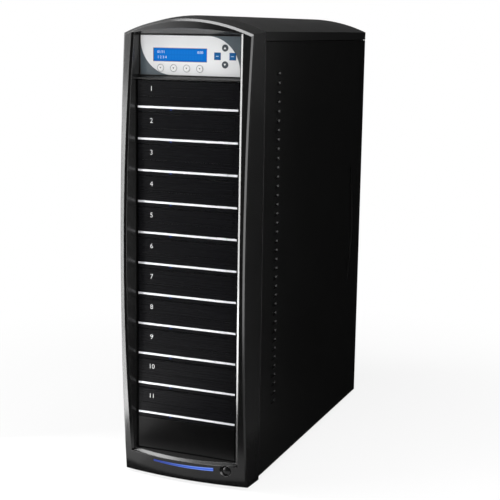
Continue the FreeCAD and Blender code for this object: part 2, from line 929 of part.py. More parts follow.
def bowed_front(shape):
    """The face of a solid that lies on the outer bowed surface."""
    bowed = [face for face in shape.Faces if isinstance(face.Surface, Part.Toroid)]
    return max(bowed, key=lambda face: face.Surface.MinorRadius)


def bevelled(name, base, wanted):
    """Bevels edges of the bowed front face; wanted gives each edge with its two widths."""
    doc.recompute()
    chosen = []
    for target, first, second in wanted(bowed_front(base.Shape)):
        index = next(k for k, edge in enumerate(base.Shape.Edges, start=1) if edge.isSame(target))
        chosen.append((index, first.value, second.value))
    bevel = doc.addObject("Part::Chamfer", name)
    bevel.Base = base
    bevel.Edges = chosen
    return bevel


def upright(edge):
    return edge.BoundBox.ZLength > 2 * d.drive_height.value


def ridge_edges(front):
    """The outer edges, with a narrower bevel along the pillars."""
    wanted = []
    for edge in front.OuterWire.Edges:
        width = d.pillar_bevel if upright(edge) else d.ridge_bevel
        wanted.append((edge, width, width))
    return wanted


def window_sides(front):
    """The two upright edges of the window."""
    inner = [wire for wire in front.Wires if not wire.isSame(front.OuterWire)]
    edges = [edge for wire in inner for edge in wire.Edges]
    return [(edge, d.window_bevel, d.window_bevel) for edge in edges if upright(edge)]


def sill_bevel():
    """Cutting piece that follows the bowed front edge of the window's sill."""
    width = d.sill_bevel
    front = d.bow_depth + PLAN_SAG - d.panel_recess
    drop = BARREL_Z - BASE - d.sill_height
    flare = front - drop * drop / (2 * d.bow_radius)
    edge = BASE + d.sill_height - d.sill_slope * flare
    body = new_body("sill_ring")
    profile = sketch(body, "sill_ring_section", "XZ_Plane")
    radius = d.plan_radius
    outline(profile, [
        (radius + width, edge - 2 * width),
        (radius + width, edge + width),
        (radius - 2 * width, edge + width),
    ])
    revolve(body, profile, "Z_Axis")
    bind(body, "Placement.Base.y", PANEL - flare + radius)
    return common("sill_cut", body, bezel_window("sill_limit", d.window_bevel, 0))


def power_place():
    """Across, face and level of the power button's centre on the bowed surface."""
    across = HALF - d.power_inset
    height = BASE + d.power_level
    return across, barrel_face(across, height), height


def power_recess():
    """Bore and countersink for the power button."""
    across, face, height = power_place()
    bore_radius = d.power_diameter / 2 + d.snap_gap
    slope = (d.power_recess_diameter / 2 - bore_radius) / d.power_recess
    depth = 2 * d.power_recess
    cone = doc.addObject("Part::Cone", "power_countersink")
    cone.Placement = Placement(Vector(), Rotation(Vector(1, 0, 0), 90))
    bind(cone, "Radius1", bore_radius)
    bind(cone, "Radius2", bore_radius + slope * depth)
    bind(cone, "Height", depth)
    for axis, value in (("x", across), ("y", face + d.power_recess), ("z", height)):
        bind(cone, f"Placement.Base.{axis}", value)
    bore = rod("power_bore", bore_radius, across, (SEAM - REACH, FASCIA), height)
    return [bore, cone]


def front_bezel():
    """Hollow moulding: pillars, brow, chin and crossbar around the bays."""
    across, face, height = power_place()
    boss_radius = d.power_diameter / 2 + d.snap_gap + d.power_boss_wall
    boss = rod("power_boss", boss_radius, across, (SEAM - REACH, face + d.power_boss_depth), height)
    core = bezel_block("bezel_core", d.bezel_wall)
    hollow = cut("bezel_hollow", core, bezel_window("bay_walls", d.bezel_wall, 0), boss)
    skin = bevelled("bezel_ridge", bezel_block("bezel_skin", size(0)), ridge_edges)
    shell = cut("bezel_shell", skin, hollow)
    frame = cut("bezel_frame", shell, bezel_window("bay_window", size(0), d.sheet_gauge))
    soft = bevelled("bezel_soft", frame, window_sides)
    barred = fuse("bezel_barred", soft, crossbar())
    slot = bar_body("bar_slot", d.snap_gap, d.bay_recess)
    return node(cut("bezel", barred, slot, sill_bevel(), *power_recess()), "front_bezel")


def light_bar():
    """Lit crescent in the chin, standing a little proud of the bowed surface."""
    barrel = doc.addObject("Part::Torus", "bar_barrel")
    barrel.Placement = Placement(Vector(), Rotation(Vector(0, 1, 0), 90))
    bind(barrel, "Radius1", d.bow_radius - d.plan_radius)
    bind(barrel, "Radius2", d.plan_radius + d.bar_proud)
    bind(barrel, "Placement.Base.y", BARREL_Y)
    bind(barrel, "Placement.Base.z", BARREL_Z)
    return node(common("bar", bar_body("bar_prism", size(0), d.bar_back), barrel), "light_bar")


def power_button():
    """Domed round button with a shoulder behind its boss."""
    body = new_body("power_model")
    profile = sketch(body, "power_half", "XY_Plane")
    radius = d.power_diameter / 2
    wide = radius + d.power_flange
    crest = d.power_sink
    rim = crest + d.power_dome
    shoulder = d.power_boss_depth + d.snap_gap
    back = shoulder + d.power_flange
    points = [(0, crest), (radius, rim), (radius, shoulder), (wide, shoulder), (wide, back), (0, back)]
    outline(profile, points, {0: (arc_radius(radius, d.power_dome), 1)})
    revolve(body, profile, "Y_Axis")
    for axis, value in zip("xyz", power_place()):
        bind(body, f"Placement.Base.{axis}", value)
    return node(body, "power_button")


# Drives


def repeat_down(name, model):
    """The model and its copies in the bays below it."""
    copies = [place(f"{name}_{k + 1:02d}", model, z=-BAY_PITCH * k) for k in range(1, DRIVES)]
    return [model] + copies


def drive_housing():
    """Pressed can, open at the front."""
    gauge = d.can_gauge
    y = (FASCIA_BACK, FASCIA_BACK + d.drive_depth)
    low = DRIVE_BOTTOM + d.sheet_gap
    high = DRIVE_TOP - d.sheet_gap
    can = block("can", (-DRIVE_HALF, DRIVE_HALF), y, (low, high))
    inner_half = DRIVE_HALF - gauge
    depth = (y[0] - gauge, y[1] - gauge)
    room = block("can_room", (-inner_half, inner_half), depth, (low + gauge, high - gauge))
    return cut("housing", can, room)


def drive_deck():
    """Loader deck with the tray's rails and the spindle."""
    half = DRIVE_HALF - d.can_gauge
    top = TRAY_BOTTOM - d.snap_gap
    y = (FASCIA_BACK, FASCIA_BACK + d.drive_depth - d.can_gauge)
    plate = block("deck_plate", (-half, half), y, (top - d.deck_thickness, top))
    inner = TRAY_HALF + d.slide_gap
    rails = [
        block("rail_left", (-half, -inner), y, (top, top + d.rail_height)),
        block("rail_right", (inner, half), y, (top, top + d.rail_height)),
    ]
    low = DRIVE_BOTTOM + d.sheet_gap + d.can_gauge
    disc_y = FASCIA + d.disc_setback
    motor = rod("spindle", d.spindle_diameter / 2, 0, disc_y, (low, top))
    return fuse("deck", plate, motor, *rails)


def drive_bezel():
    """Drive front with the tray's slot and openings for the eject key and the light."""
    half = DRIVE_HALF
    z = (DRIVE_BOTTOM, DRIVE_TOP)
    wall = d.drive_bezel_plate / 2
    body = new_body("drive_front")
    profile = sketch(body, "drive_front_outline", "XZ_Plane", FASCIA_BACK)
    rectangle(profile, (-half, half), z)
    pad(body, profile, d.drive_bezel_depth)
    room = sketch(body, "drive_front_room", "XZ_Plane", FASCIA + d.drive_bezel_plate)
    rectangle(room, (-half + wall, half - wall), (z[0] + wall / 2, z[1] - wall / 2))
    pocket(body, room, d.drive_bezel_depth - d.drive_bezel_plate)
    gap = d.slide_gap
    openings = sketch(body, "drive_front_openings", "XZ_Plane", FASCIA)
    door = DOOR_HALF + gap
    rectangle(openings, (-door, door), (DOOR_SILL - gap, DOOR_SILL + d.door_height + gap))
    middle = DRIVE_BOTTOM + d.strip_level
    key = d.strip_height / 2 + d.sheet_gap
    left = d.eject_left - d.eject_gap
    right = d.eject_left + d.eject_width + d.eject_gap
    rectangle(openings, (left, right), (middle - key, middle + key))
    half_x = d.light_width / 2
    half_z = d.light_height / 2
    lamp = DRIVE_BOTTOM + d.light_level
    rectangle(openings, (-d.light_offset - half_x, half_x - d.light_offset), (lamp - half_z, lamp + half_z))
    pocket(body, openings, d.drive_bezel_plate)
    return body


def drive_strip():
    """Bright strip across the drive front, broken by the eject key."""
    middle = DRIVE_BOTTOM + d.strip_level
    z = (middle - d.strip_height / 2, middle + d.strip_height / 2)
    y = (FASCIA - d.strip_proud, FASCIA)
    end = DRIVE_HALF - d.strip_margin
    long_strip = block("strip_long", (-end, d.eject_left - d.eject_gap), y, z)
    short_strip = block("strip_short", (d.eject_left + d.eject_width + d.eject_gap, end), y, z)
    return group("strip", [long_strip, short_strip])


def drive_light():
    """Status light, a small clear block that fills its opening."""
    half = d.light_width / 2
    lamp = DRIVE_BOTTOM + d.light_level
    x = (-d.light_offset - half, -d.light_offset + half)
    y = (FASCIA - d.sheet_gap, FASCIA + d.drive_bezel_plate)
    lens = block("lens", x, y, (lamp - d.light_height / 2, lamp + d.light_height / 2))
    return group("light", [lens])


def eject_button():
    """Key in the strip, with a shoulder behind the drive front."""
    middle = DRIVE_BOTTOM + d.strip_level
    half = d.strip_height / 2
    left = d.eject_left
    right = d.eject_left + d.eject_width
    back = FASCIA + d.drive_bezel_plate + d.snap_gap
    ledge = d.eject_shoulder
    cap = block("eject_cap", (left, right), (FASCIA - d.eject_proud, back), (middle - half, middle + half))
    wide = (left - ledge, right + ledge)
    tall = (middle - half - ledge, middle + half + ledge)
    shoulder = block("eject_rear", wide, (back, back + ledge), tall)
    return fuse("eject", cap, shoulder)


def disc_tray():
    """Tray with its door: a stepped round well and the spindle slot behind its middle."""
    body = new_body("tray")
    half = TRAY_HALF
    door_back = FASCIA - d.door_proud + d.door_thickness
    low = TRAY_BOTTOM
    top = low + d.tray_thickness
    disc_y = FASCIA + d.disc_setback
    tail = door_back + d.tray_length

    plate = sketch(body, "tray_plan", "XY_Plane", low)
    rectangle(plate, (-half, half), (door_back, tail))
    pad(body, plate, d.tray_thickness)
    door = sketch(body, "tray_door", "XZ_Plane", door_back)
    rectangle(door, (-DOOR_HALF, DOOR_HALF), (DOOR_SILL, DOOR_SILL + d.door_height))
    pad(body, door, d.door_thickness)
    well = sketch(body, "tray_well", "XY_Plane", top)
    circle(well, 0, disc_y, d.disc_diameter / 2)
    pocket(body, well, d.well_depth)
    small = sketch(body, "tray_small_well", "XY_Plane", top - d.well_depth)
    circle(small, 0, disc_y, d.small_well_diameter / 2)
    pocket(body, small, d.small_well_depth)
    slot = sketch(body, "tray_slot", "XY_Plane", top)
    reach = d.spindle_slot_width / 2
    far = disc_y + d.disc_diameter / 2 - reach
    points = [(reach, disc_y), (reach, far), (-reach, far), (-reach, disc_y)]
    outline(slot, points, {1: (reach * 1.0001, 1), 3: (reach * 1.0001, 1)})
    pocket(body, slot, d.tray_thickness)
    return body


def blank_bay_cover():
    """Plain cover of the empty bay, with a tongue that clips inside the window."""
    half = DRIVE_HALF
    low = BLANK_BOTTOM
    high = BLANK_TOP
    back = FASCIA + d.blank_plate
    inset = d.blank_tongue_inset
    plate = block("blank_plate", (-half, half), (FASCIA, back), (low, high))
    tongue = block("blank_tongue", (-half, half), (back, back + d.blank_tongue), (low + inset, high - inset))
    room_half = half - inset
    room = block(
        "blank_room",
        (-room_half, room_half),
        (back, back + d.blank_tongue + d.sheet_gauge),
        (low + 2 * inset, high - 2 * inset),
    )
    return node(cut("blank", fuse("blank_whole", plate, tongue), room), "blank_bay_cover")


def drives():
    node(group("housings", repeat_down("housing", drive_housing())), "drive_housings")
    node(group("decks", repeat_down("deck", drive_deck())), "drive_decks")
    node(group("fronts", repeat_down("drive_front", drive_bezel())), "drive_bezels")
    node(group("strips", repeat_down("strip", drive_strip())), "drive_trim_strips")
    node(group("lights", repeat_down("light", drive_light())), "drive_status_lights")
    for k, tray in enumerate(repeat_down("tray", disc_tray()), start=1):
        node(tray, f"disc_tray_{k:02d}")
    for k, button in enumerate(repeat_down("eject", eject_button()), start=1):
        node(button, f"eject_button_{k:02d}")


# Control panel


def round_key_places():
    middle = PANEL_BOTTOM + d.cluster_level
    places = {
        "up_button": (d.cluster_across, middle + d.cluster_reach),
        "down_button": (d.cluster_across, middle - d.cluster_reach),
    }
    for k in range(4):
        across = d.hotkey_pitch * k - d.hotkey_first
        places[f"hotkey_button_{k + 1}"] = (across, PANEL_BOTTOM + d.hotkey_level)
    return places


def square_key_places():
    middle = PANEL_BOTTOM + d.cluster_level
    return {
        "escape_button": (d.cluster_across - d.cluster_reach, middle),
        "enter_button": (d.cluster_across + d.cluster_reach, middle),
    }


def key_holes(name, y, gap):
    """Cutting pieces for the display window and every key."""
    tools = []
    for label, (x, z) in round_key_places().items():
        tools.append(rod(f"{name}_{label}", d.key_diameter / 2 + gap, x, y, z))
    half_x = d.square_key_width / 2 + gap
    half_z = d.square_key_height / 2 + gap
    for label, (x, z) in square_key_places().items():
        tools.append(block(f"{name}_{label}", (x - half_x, x + half_x), y, (z - half_z, z + half_z)))
    z = (PANEL_BOTTOM + d.display_bottom, PANEL_BOTTOM + d.display_top)
    tools.append(block(f"{name}_display", (-d.display_left, d.display_right), y, z))
    return tools


def control_panel():
    """Moulded panel with a deep rim and four posts for the board."""
    half = DRIVE_HALF - d.sheet_gap
    z = (PANEL_BOTTOM, PANEL_TOP)
    rim = d.panel_rim_wall
    back = PANEL + d.panel_rim_depth
    whole = block("panel_block", (-half, half), (PANEL, back), z)
    room = block(
        "panel_room", (-half + rim, half - rim), (PANEL_BACK, back + rim), (z[0] + rim, z[1] - rim)
    )
    holes = key_holes("panel", (PANEL - rim, PANEL_BACK + rim), d.snap_gap)
    face = cut("panel_face", cut("panel_tray", whole, room), *holes)
    posts = []
    edge = half - d.board_margin + rim
    for x in (-edge, edge):
        for height in (z[0] + d.board_margin, z[1] - d.board_margin):
            y = (PANEL_BACK, PANEL + d.board_depth)
            posts.append(rod("panel_post", rim, x, y, height))
    return node(fuse("panel", face, *posts), "control_panel")


def control_overlay():
    """Printed film on the panel's face."""
    half = DRIVE_HALF - d.overlay_side
    margin = d.overlay_margin
    z = (PANEL_BOTTOM + margin, PANEL_TOP - margin)
    film = block("film", (-half, half), (PANEL - d.overlay_gauge, PANEL), z)
    holes = key_holes("film", (PANEL - d.door_thickness, PANEL + d.sheet_gauge), d.snap_gap)
    return node(cut("overlay", film, *holes), "control_overlay")


def lcd_module():
    """Display with its glass standing in the panel's window."""
    border = d.display_border
    inset = d.display_inset
    x = (-d.display_left, d.display_right)
    z = (PANEL_BOTTOM + d.display_bottom, PANEL_BOTTOM + d.display_top)
    y = (PANEL_BACK, PANEL_BACK + d.display_depth)
    module = block("display_case", (x[0] - border, x[1] + border), y, (z[0] - border, z[1] + border))
    pane_x = (x[0] + inset, x[1] - inset)
    pane_z = (z[0] + inset, z[1] - inset)
    glass = block("display_glass", pane_x, (PANEL + inset, PANEL_BACK), pane_z)
    return node(fuse("display", module, glass), "lcd_module")


def control_board():
    """Circuit board with one switch behind each key."""
    half = DRIVE_HALF - d.sheet_gap - d.panel_rim_wall - d.snap_gap
    front = PANEL + d.board_depth
    low = PANEL_BOTTOM + d.panel_rim_wall + d.snap_gap
    high = PANEL_TOP - d.panel_rim_wall - d.snap_gap
    plate = block("board_plate", (-half, half), (front, front + d.board_gauge), (low, high))
    reach = d.switch_size / 2
    switches = []
    for label, (x, z) in {**round_key_places(), **square_key_places()}.items():
        y = (front - d.switch_height, front)
        switches.append(block(f"switch_{label}", (x - reach, x + reach), y, (z - reach, z + reach)))
    return node(fuse("board", plate, *switches), "control_board")


def key_depths():
    """Local Y of a key's front, shoulder, shoulder back and stem end; 0 is the panel's face."""
    shoulder = d.panel_plate + d.snap_gap
    stem = d.board_depth - d.switch_height - d.key_travel - d.snap_gap
    return -d.key_proud, shoulder, shoulder + d.key_flange, stem


def round_key():
    body = new_body("round_key_model")
    profile = sketch(body, "round_key_half", "XY_Plane")
    front, shoulder, back, stem = key_depths()
    radius = d.key_diameter / 2
    wide = radius + d.key_flange
    thin = d.key_stem_diameter / 2
    soft = d.key_round
    points = [
        (0, front),
        (radius - soft, front),
        (radius, front + soft),
        (radius, shoulder),
        (wide, shoulder),
        (wide, back),
        (thin, back),
        (thin, stem),
        (0, stem),
    ]
    outline(profile, points, {1: (soft, 1)})
    revolve(body, profile, "Y_Axis")
    return body


def square_key():
    body = new_body("square_key_model")
    front, shoulder, back, stem = key_depths()
    half_x = d.square_key_width / 2
    half_z = d.square_key_height / 2
    wide = d.key_flange
    cap = sketch(body, "square_key_cap", "XZ_Plane", shoulder)
    rectangle(cap, (-half_x, half_x), (-half_z, half_z))
    cap_pad = pad(body, cap, shoulder - front)
    round_edges(body, cap_pad, d.key_round, lambda p: near(p.y, front))
    flange = sketch(body, "square_key_flange", "XZ_Plane", back)
    rectangle(flange, (-half_x - wide, half_x + wide), (-half_z - wide, half_z + wide))
    pad(body, flange, back - shoulder)
    post = sketch(body, "square_key_stem", "XZ_Plane", stem)
    circle(post, 0, 0, d.key_stem_diameter / 2)
    pad(body, post, stem - back)
    return body


def panel_keys():
    round_model = round_key()
    for label, (x, z) in round_key_places().items():
        node(place(label, round_model, x, PANEL, z), label)
    square_model = square_key()
    for label, (x, z) in square_key_places().items():
        node(place(label, square_model, x, PANEL, z), label)


# Fans and power supply


def fan_frame():
    """Square fan frame with a boss held by crossed arms; local Y 0 is its mounting face."""
    half = d.fan_size / 2
    depth = (-d.fan_depth, size(0))
    whole = block("fan_square", (-half, half), depth, (-half, half))
    tools = [rod("fan_bore", d.fan_bore / 2, 0, (-d.fan_depth - 1, size(1)), 0)]
    pitch = d.fan_screw_pitch / 2
    for x in (-pitch, pitch):
        for z in (-pitch, pitch):
            tools.append(rod("fan_hole", d.fan_screw_hole / 2, x, (-d.fan_depth - 1, size(1)), z))
    ring = cut("fan_ring", whole, *tools)
    inner = (-d.fan_depth, -d.fan_depth + d.fan_boss_depth)
    arm = d.fan_arm_width / 2
    reach = d.fan_bore / 2 + d.sheet_gauge / 2
    arms = [
        block("fan_arm_level", (-reach, reach), inner, (-arm, arm)),
        block("fan_arm_upright", (-arm, arm), inner, (-reach, reach)),
    ]
    boss = rod("fan_boss", d.fan_hub / 2, 0, inner, 0)
    return fuse("fan_frame_model", ring, boss, *arms)


def fan_rotor():
    """Hub with slanted blades, running just off the frame's boss."""
    body = new_body("fan_rotor_model")
    rear = -d.fan_depth + d.fan_boss_depth + d.fan_running_gap
    front = rear + d.fan_hub_depth
    hub = sketch(body, "rotor_hub", "XZ_Plane", front)
    circle(hub, 0, 0, d.fan_hub / 2)
    pad(body, hub, d.fan_hub_depth)
    start = d.fan_hub / 2 - d.fan_blade_gauge
    low = (rear + front - d.fan_blade_chord) / 2
    high = low + d.fan_blade_chord
    sweep = d.fan_blade_sweep
    gauge = d.fan_blade_gauge
    blade = sketch(body, "rotor_blade", "YZ_Plane", start)
    outline(blade, [(low, -sweep), (high, sweep), (high, sweep + gauge), (low, gauge - sweep)])
    blade_pad = pad(body, blade, d.fan_tip / 2 - start - gauge)
    ring = body.newObject("PartDesign::PolarPattern", "rotor_ring")
    ring.Originals = [blade_pad]
    ring.Axis = (origin_feature(body, "Y_Axis"), [""])
    ring.Angle = 360
    ring.Occurrences = FAN_BLADES
    body.Tip = ring
    return body


def fans():
    frame_model = fan_frame()
    rotor_model = fan_rotor()
    labels = ("fan_rotor_low", "fan_rotor_high", "supply_fan_rotor")
    faces = (REAR_INNER, REAR_INNER, REAR_INNER - d.sheet_gauge)
    frames = []
    for label, face, (x, z) in zip(labels, faces, fan_places()):
        frames.append(place(f"{label}_frame", frame_model, x, face, z))
        node(place(label, rotor_model, x, face, z), label)
    return node(group("frames", frames), "fan_frames")


def power_supply():
    """Steel supply case with a fan vent, and openings for the inlet and the rocker."""
    gauge = d.sheet_gauge
    half = d.supply_width / 2
    front = REAR_INNER - d.supply_depth
    whole = block("supply_block", (-half, half), (front, REAR_INNER), (BASE_TOP, SUPPLY_TOP))
    room = block(
        "supply_room",
        (-half + gauge, half - gauge),
        (front + gauge, REAR_INNER - gauge),
        (BASE_TOP + gauge, SUPPLY_TOP - gauge),
    )
    y = (REAR_INNER - 2 * gauge, REAR_INNER + gauge)
    tools = grille("supply_vent", fan_places()[2], y)
    x = d.mains_across
    openings = {
        "inlet": (d.inlet_body_width + 2 * d.snap_gap, d.inlet_body_height + 2 * d.snap_gap, INLET_Z),
        "rocker": (d.rocker_width + 2 * d.slide_gap, d.rocker_height + 2 * d.rocker_room, ROCKER_Z),
    }
    for name, (wide, tall, level) in openings.items():
        across = (x - wide / 2, x + wide / 2)
        tools.append(block(f"supply_{name}_hole", across, y, (level - tall / 2, level + tall / 2)))
    for k, (across, level) in enumerate(supply_screw_places()):
        tools.append(rod(f"supply_hole_{k}", d.screw_hole_radius, across, y, level))
    return node(cut("supply", cut("supply_shell", whole, room), *tools), "power_supply")


def power_inlet():
    """Three-pin mains inlet with a flange on the supply's rear face."""
    x = d.mains_across
    z = INLET_Z
    front = REAR_INNER + d.inlet_flange_gauge
    half = d.inlet_flange_width / 2
    tall = d.inlet_flange_height / 2
    flange = block("inlet_flange", (x - half, x + half), (REAR_INNER, front), (z - tall, z + tall))
    half = d.inlet_body_width / 2
    tall = d.inlet_body_height / 2
    deep = REAR_INNER - d.inlet_body_depth
    body = block("inlet_body", (x - half, x + half), (deep, REAR_INNER), (z - tall, z + tall))
    half = d.inlet_mouth_width / 2
    tall = d.inlet_mouth_height / 2
    floor = front - d.inlet_mouth_depth
    mouth = block("inlet_mouth", (x - half, x + half), (floor, front + 1), (z - tall, z + tall))
    socket = cut("inlet_socket", fuse("inlet_whole", flange, body), mouth)
    wide = d.inlet_pin_width / 2
    high = d.inlet_pin_height
    pitch = d.inlet_pin_pitch
    pins = []
    for k, (across, low) in enumerate(((-pitch, -high), (size(0), size(0)), (pitch, -high))):
        centre = x + across
        y = (floor, floor + d.inlet_pin_length)
        pins.append(block(f"inlet_pin_{k}", (centre - wide, centre + wide), y, (z + low, z + low + high)))
    return node(fuse("inlet", socket, *pins), "power_inlet")


def power_switch():
    """Rocker with a dipped face, resting with its upper end out."""
    body = new_body("rocker")
    tall = d.rocker_height / 2
    half = d.rocker_width / 2
    crown = d.rocker_crown
    profile = sketch(body, "rocker_side", "YZ_Plane", -half)
    points = [
        (-d.rocker_back, -tall),
        (crown - d.rocker_dip, -tall),
        (crown - 2 * d.rocker_dip, 0),
        (crown - d.rocker_dip, tall),
        (-d.rocker_back, tall),
    ]
    outline(profile, points)
    pad(body, profile, d.rocker_width)
    body.Placement = Placement(Vector(), Rotation(Vector(1, 0, 0), -d.rocker_tilt.value))
    bind(body, "Placement.Base.x", d.mains_across)
    bind(body, "Placement.Base.y", REAR_INNER - d.sheet_gauge / 2)
    bind(body, "Placement.Base.z", ROCKER_Z)
    return node(body, "power_switch")


def build():
    front_bezel()
    light_bar()
    power_button()
    control_panel()
    control_overlay()
    lcd_module()
    control_board()
    panel_keys()
    drives()
    blank_bay_cover()
    drive_cage()
    top_cover()
    side_panel("left_side_panel", -1)
    side_panel("right_side_panel", 1)
    base_pan()
    rear_panel()
    fans()
    power_supply()
    power_inlet()
    power_switch()
    rubber_feet()
    case_screws()


def check():
    """Stops on any failed object or broken piece."""
    for thing in doc.Objects:
        if "Invalid" in thing.State or "Error" in thing.State:
            raise RuntimeError(f"{thing.Name} failed: {thing.State}")
    for thing in nodes:
        shape = Part.getShape(thing)
        if shape.isNull() or not shape.isValid():
            raise RuntimeError(f"{thing.Label} has no sound shape")


def write():
    os.makedirs("parts", exist_ok=True)
    for thing in nodes:
        Part.getShape(thing).exportStep(f"parts/{thing.Label}.step")


build()
doc.recompute()
check()
write()
print(f"{len(nodes)} pieces written")
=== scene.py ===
import math

import bmesh
import bpy
from mathutils import Matrix, Vector


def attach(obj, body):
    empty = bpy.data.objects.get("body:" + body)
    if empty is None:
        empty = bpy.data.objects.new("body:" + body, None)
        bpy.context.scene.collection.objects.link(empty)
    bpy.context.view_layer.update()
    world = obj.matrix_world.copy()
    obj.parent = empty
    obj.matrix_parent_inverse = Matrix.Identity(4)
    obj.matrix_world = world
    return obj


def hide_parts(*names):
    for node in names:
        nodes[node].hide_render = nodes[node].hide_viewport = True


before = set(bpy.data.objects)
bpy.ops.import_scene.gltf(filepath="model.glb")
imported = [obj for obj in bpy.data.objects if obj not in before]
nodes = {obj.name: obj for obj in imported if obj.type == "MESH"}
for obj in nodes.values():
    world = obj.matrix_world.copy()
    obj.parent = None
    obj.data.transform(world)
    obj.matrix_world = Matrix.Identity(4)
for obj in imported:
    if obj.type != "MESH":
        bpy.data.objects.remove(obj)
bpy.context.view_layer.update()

# A disc duplicator tower: black case, bowed front frame, eleven tray drives and a lit control panel.
# Metres, +Z up, front towards -Y.

DRIVES = 11
TRAYS = [f"disc_tray_{k:02d}" for k in range(1, DRIVES + 1)]
EJECTS = [f"eject_button_{k:02d}" for k in range(1, DRIVES + 1)]
SQUARE_KEYS = ["escape_button", "enter_button"]
HOTKEYS = [f"hotkey_button_{k}" for k in range(1, 5)]
ROTORS = ["fan_rotor_low", "fan_rotor_high", "supply_fan_rotor"]

# Places that several pieces share
TOP_DRIVE = 0.5071
DRIVE_PITCH = 0.04228
DRIVE_BOTTOMS = [TOP_DRIVE - DRIVE_PITCH * k for k in range(DRIVES)]
DOOR_FACE = -0.2293
DISC_CENTRE = -0.161
REAR_FACE = 0.2475
INLET_ACROSS = 0.042

# Control panel layout, from the front
KEY_ACROSS = 0.0502
KEY_LEVEL = 0.5815
KEY_REACH = 0.0107
HOTKEY_FIRST = -0.0422
HOTKEY_PITCH = 0.01893
HOTKEY_LEVEL = 0.5648
FILM_HALF = 0.0715
FILM_BOTTOM = 0.5558
FILM_TOP = 0.607
DISPLAY_LEFT = -0.0528
DISPLAY_RIGHT = 0.0245
DISPLAY_BOTTOM = 0.5735
DISPLAY_TOP = 0.5907
DISPLAY_ACROSS = (DISPLAY_LEFT + DISPLAY_RIGHT) / 2
DISPLAY_LEVEL = (DISPLAY_BOTTOM + DISPLAY_TOP) / 2

# Half the soft edge of a printed mark
PRINT_EDGE = 0.00012


# Node trees


class Wire:
    """A number on a node's socket; arithmetic on it adds Math nodes."""

    def __init__(self, tree, socket):
        self.tree = tree
        self.socket = socket

    def maths(self, operation, first, second):
        return self.tree.node("ShaderNodeMath", {"operation": operation}, {0: first, 1: second})

    def __add__(self, other):
        return self.maths("ADD", self, other)

    def __sub__(self, other):
        return self.maths("SUBTRACT", self, other)

    def __rsub__(self, other):
        return self.maths("SUBTRACT", other, self)

    def __mul__(self, other):
        return self.maths("MULTIPLY", self, other)

    def __truediv__(self, other):
        return self.maths("DIVIDE", self, other)

    def __pow__(self, other):
        return self.maths("POWER", self, other)

    def __abs__(self):
        return self.maths("ABSOLUTE", self, 0)

    def least(self, other):
        return self.maths("MINIMUM", self, other)

    def most(self, other):
        return self.maths("MAXIMUM", self, other)

    def wrapped(self, period):
        """The distance from the nearest whole period, from minus a half to plus a half period."""
        ends = {0: self, 1: period / 2, 2: -period / 2}
        return self.tree.node("ShaderNodeMath", {"operation": "WRAP"}, ends)


def distance(across, along):
    """Length of a line, from its extent along two axes."""
    return (across * across + along * along) ** 0.5


def colour(value):
    """A grey number or an RGB triple as RGBA; a wire stays as it is."""
    if isinstance(value, Wire):
        return value
    if isinstance(value, (int, float)):
        return (value, value, value, 1.0)
    return (*value, 1.0)


class Tree:
    """A node tree under construction."""

    def __init__(self, tree):
        self.tree = tree

    def node(self, kind, settings=None, sockets=None, output=0):
        """Adds a node: its settings first, then the values or links of its sockets."""
        made = self.tree.nodes.new(kind)
        for name, value in (settings or {}).items():
            setattr(made, name, value)
        for key, value in (sockets or {}).items():
            if isinstance(value, Wire):
                self.tree.links.new(value.socket, made.inputs[key])
            else:
                made.inputs[key].default_value = value
        return Wire(self, made.outputs[output]) if made.outputs else None

    def several(self, wire, *outputs):
        """Further outputs of the node that a wire comes from."""
        made = wire.socket.node
        return [Wire(self, made.outputs[name]) for name in outputs]


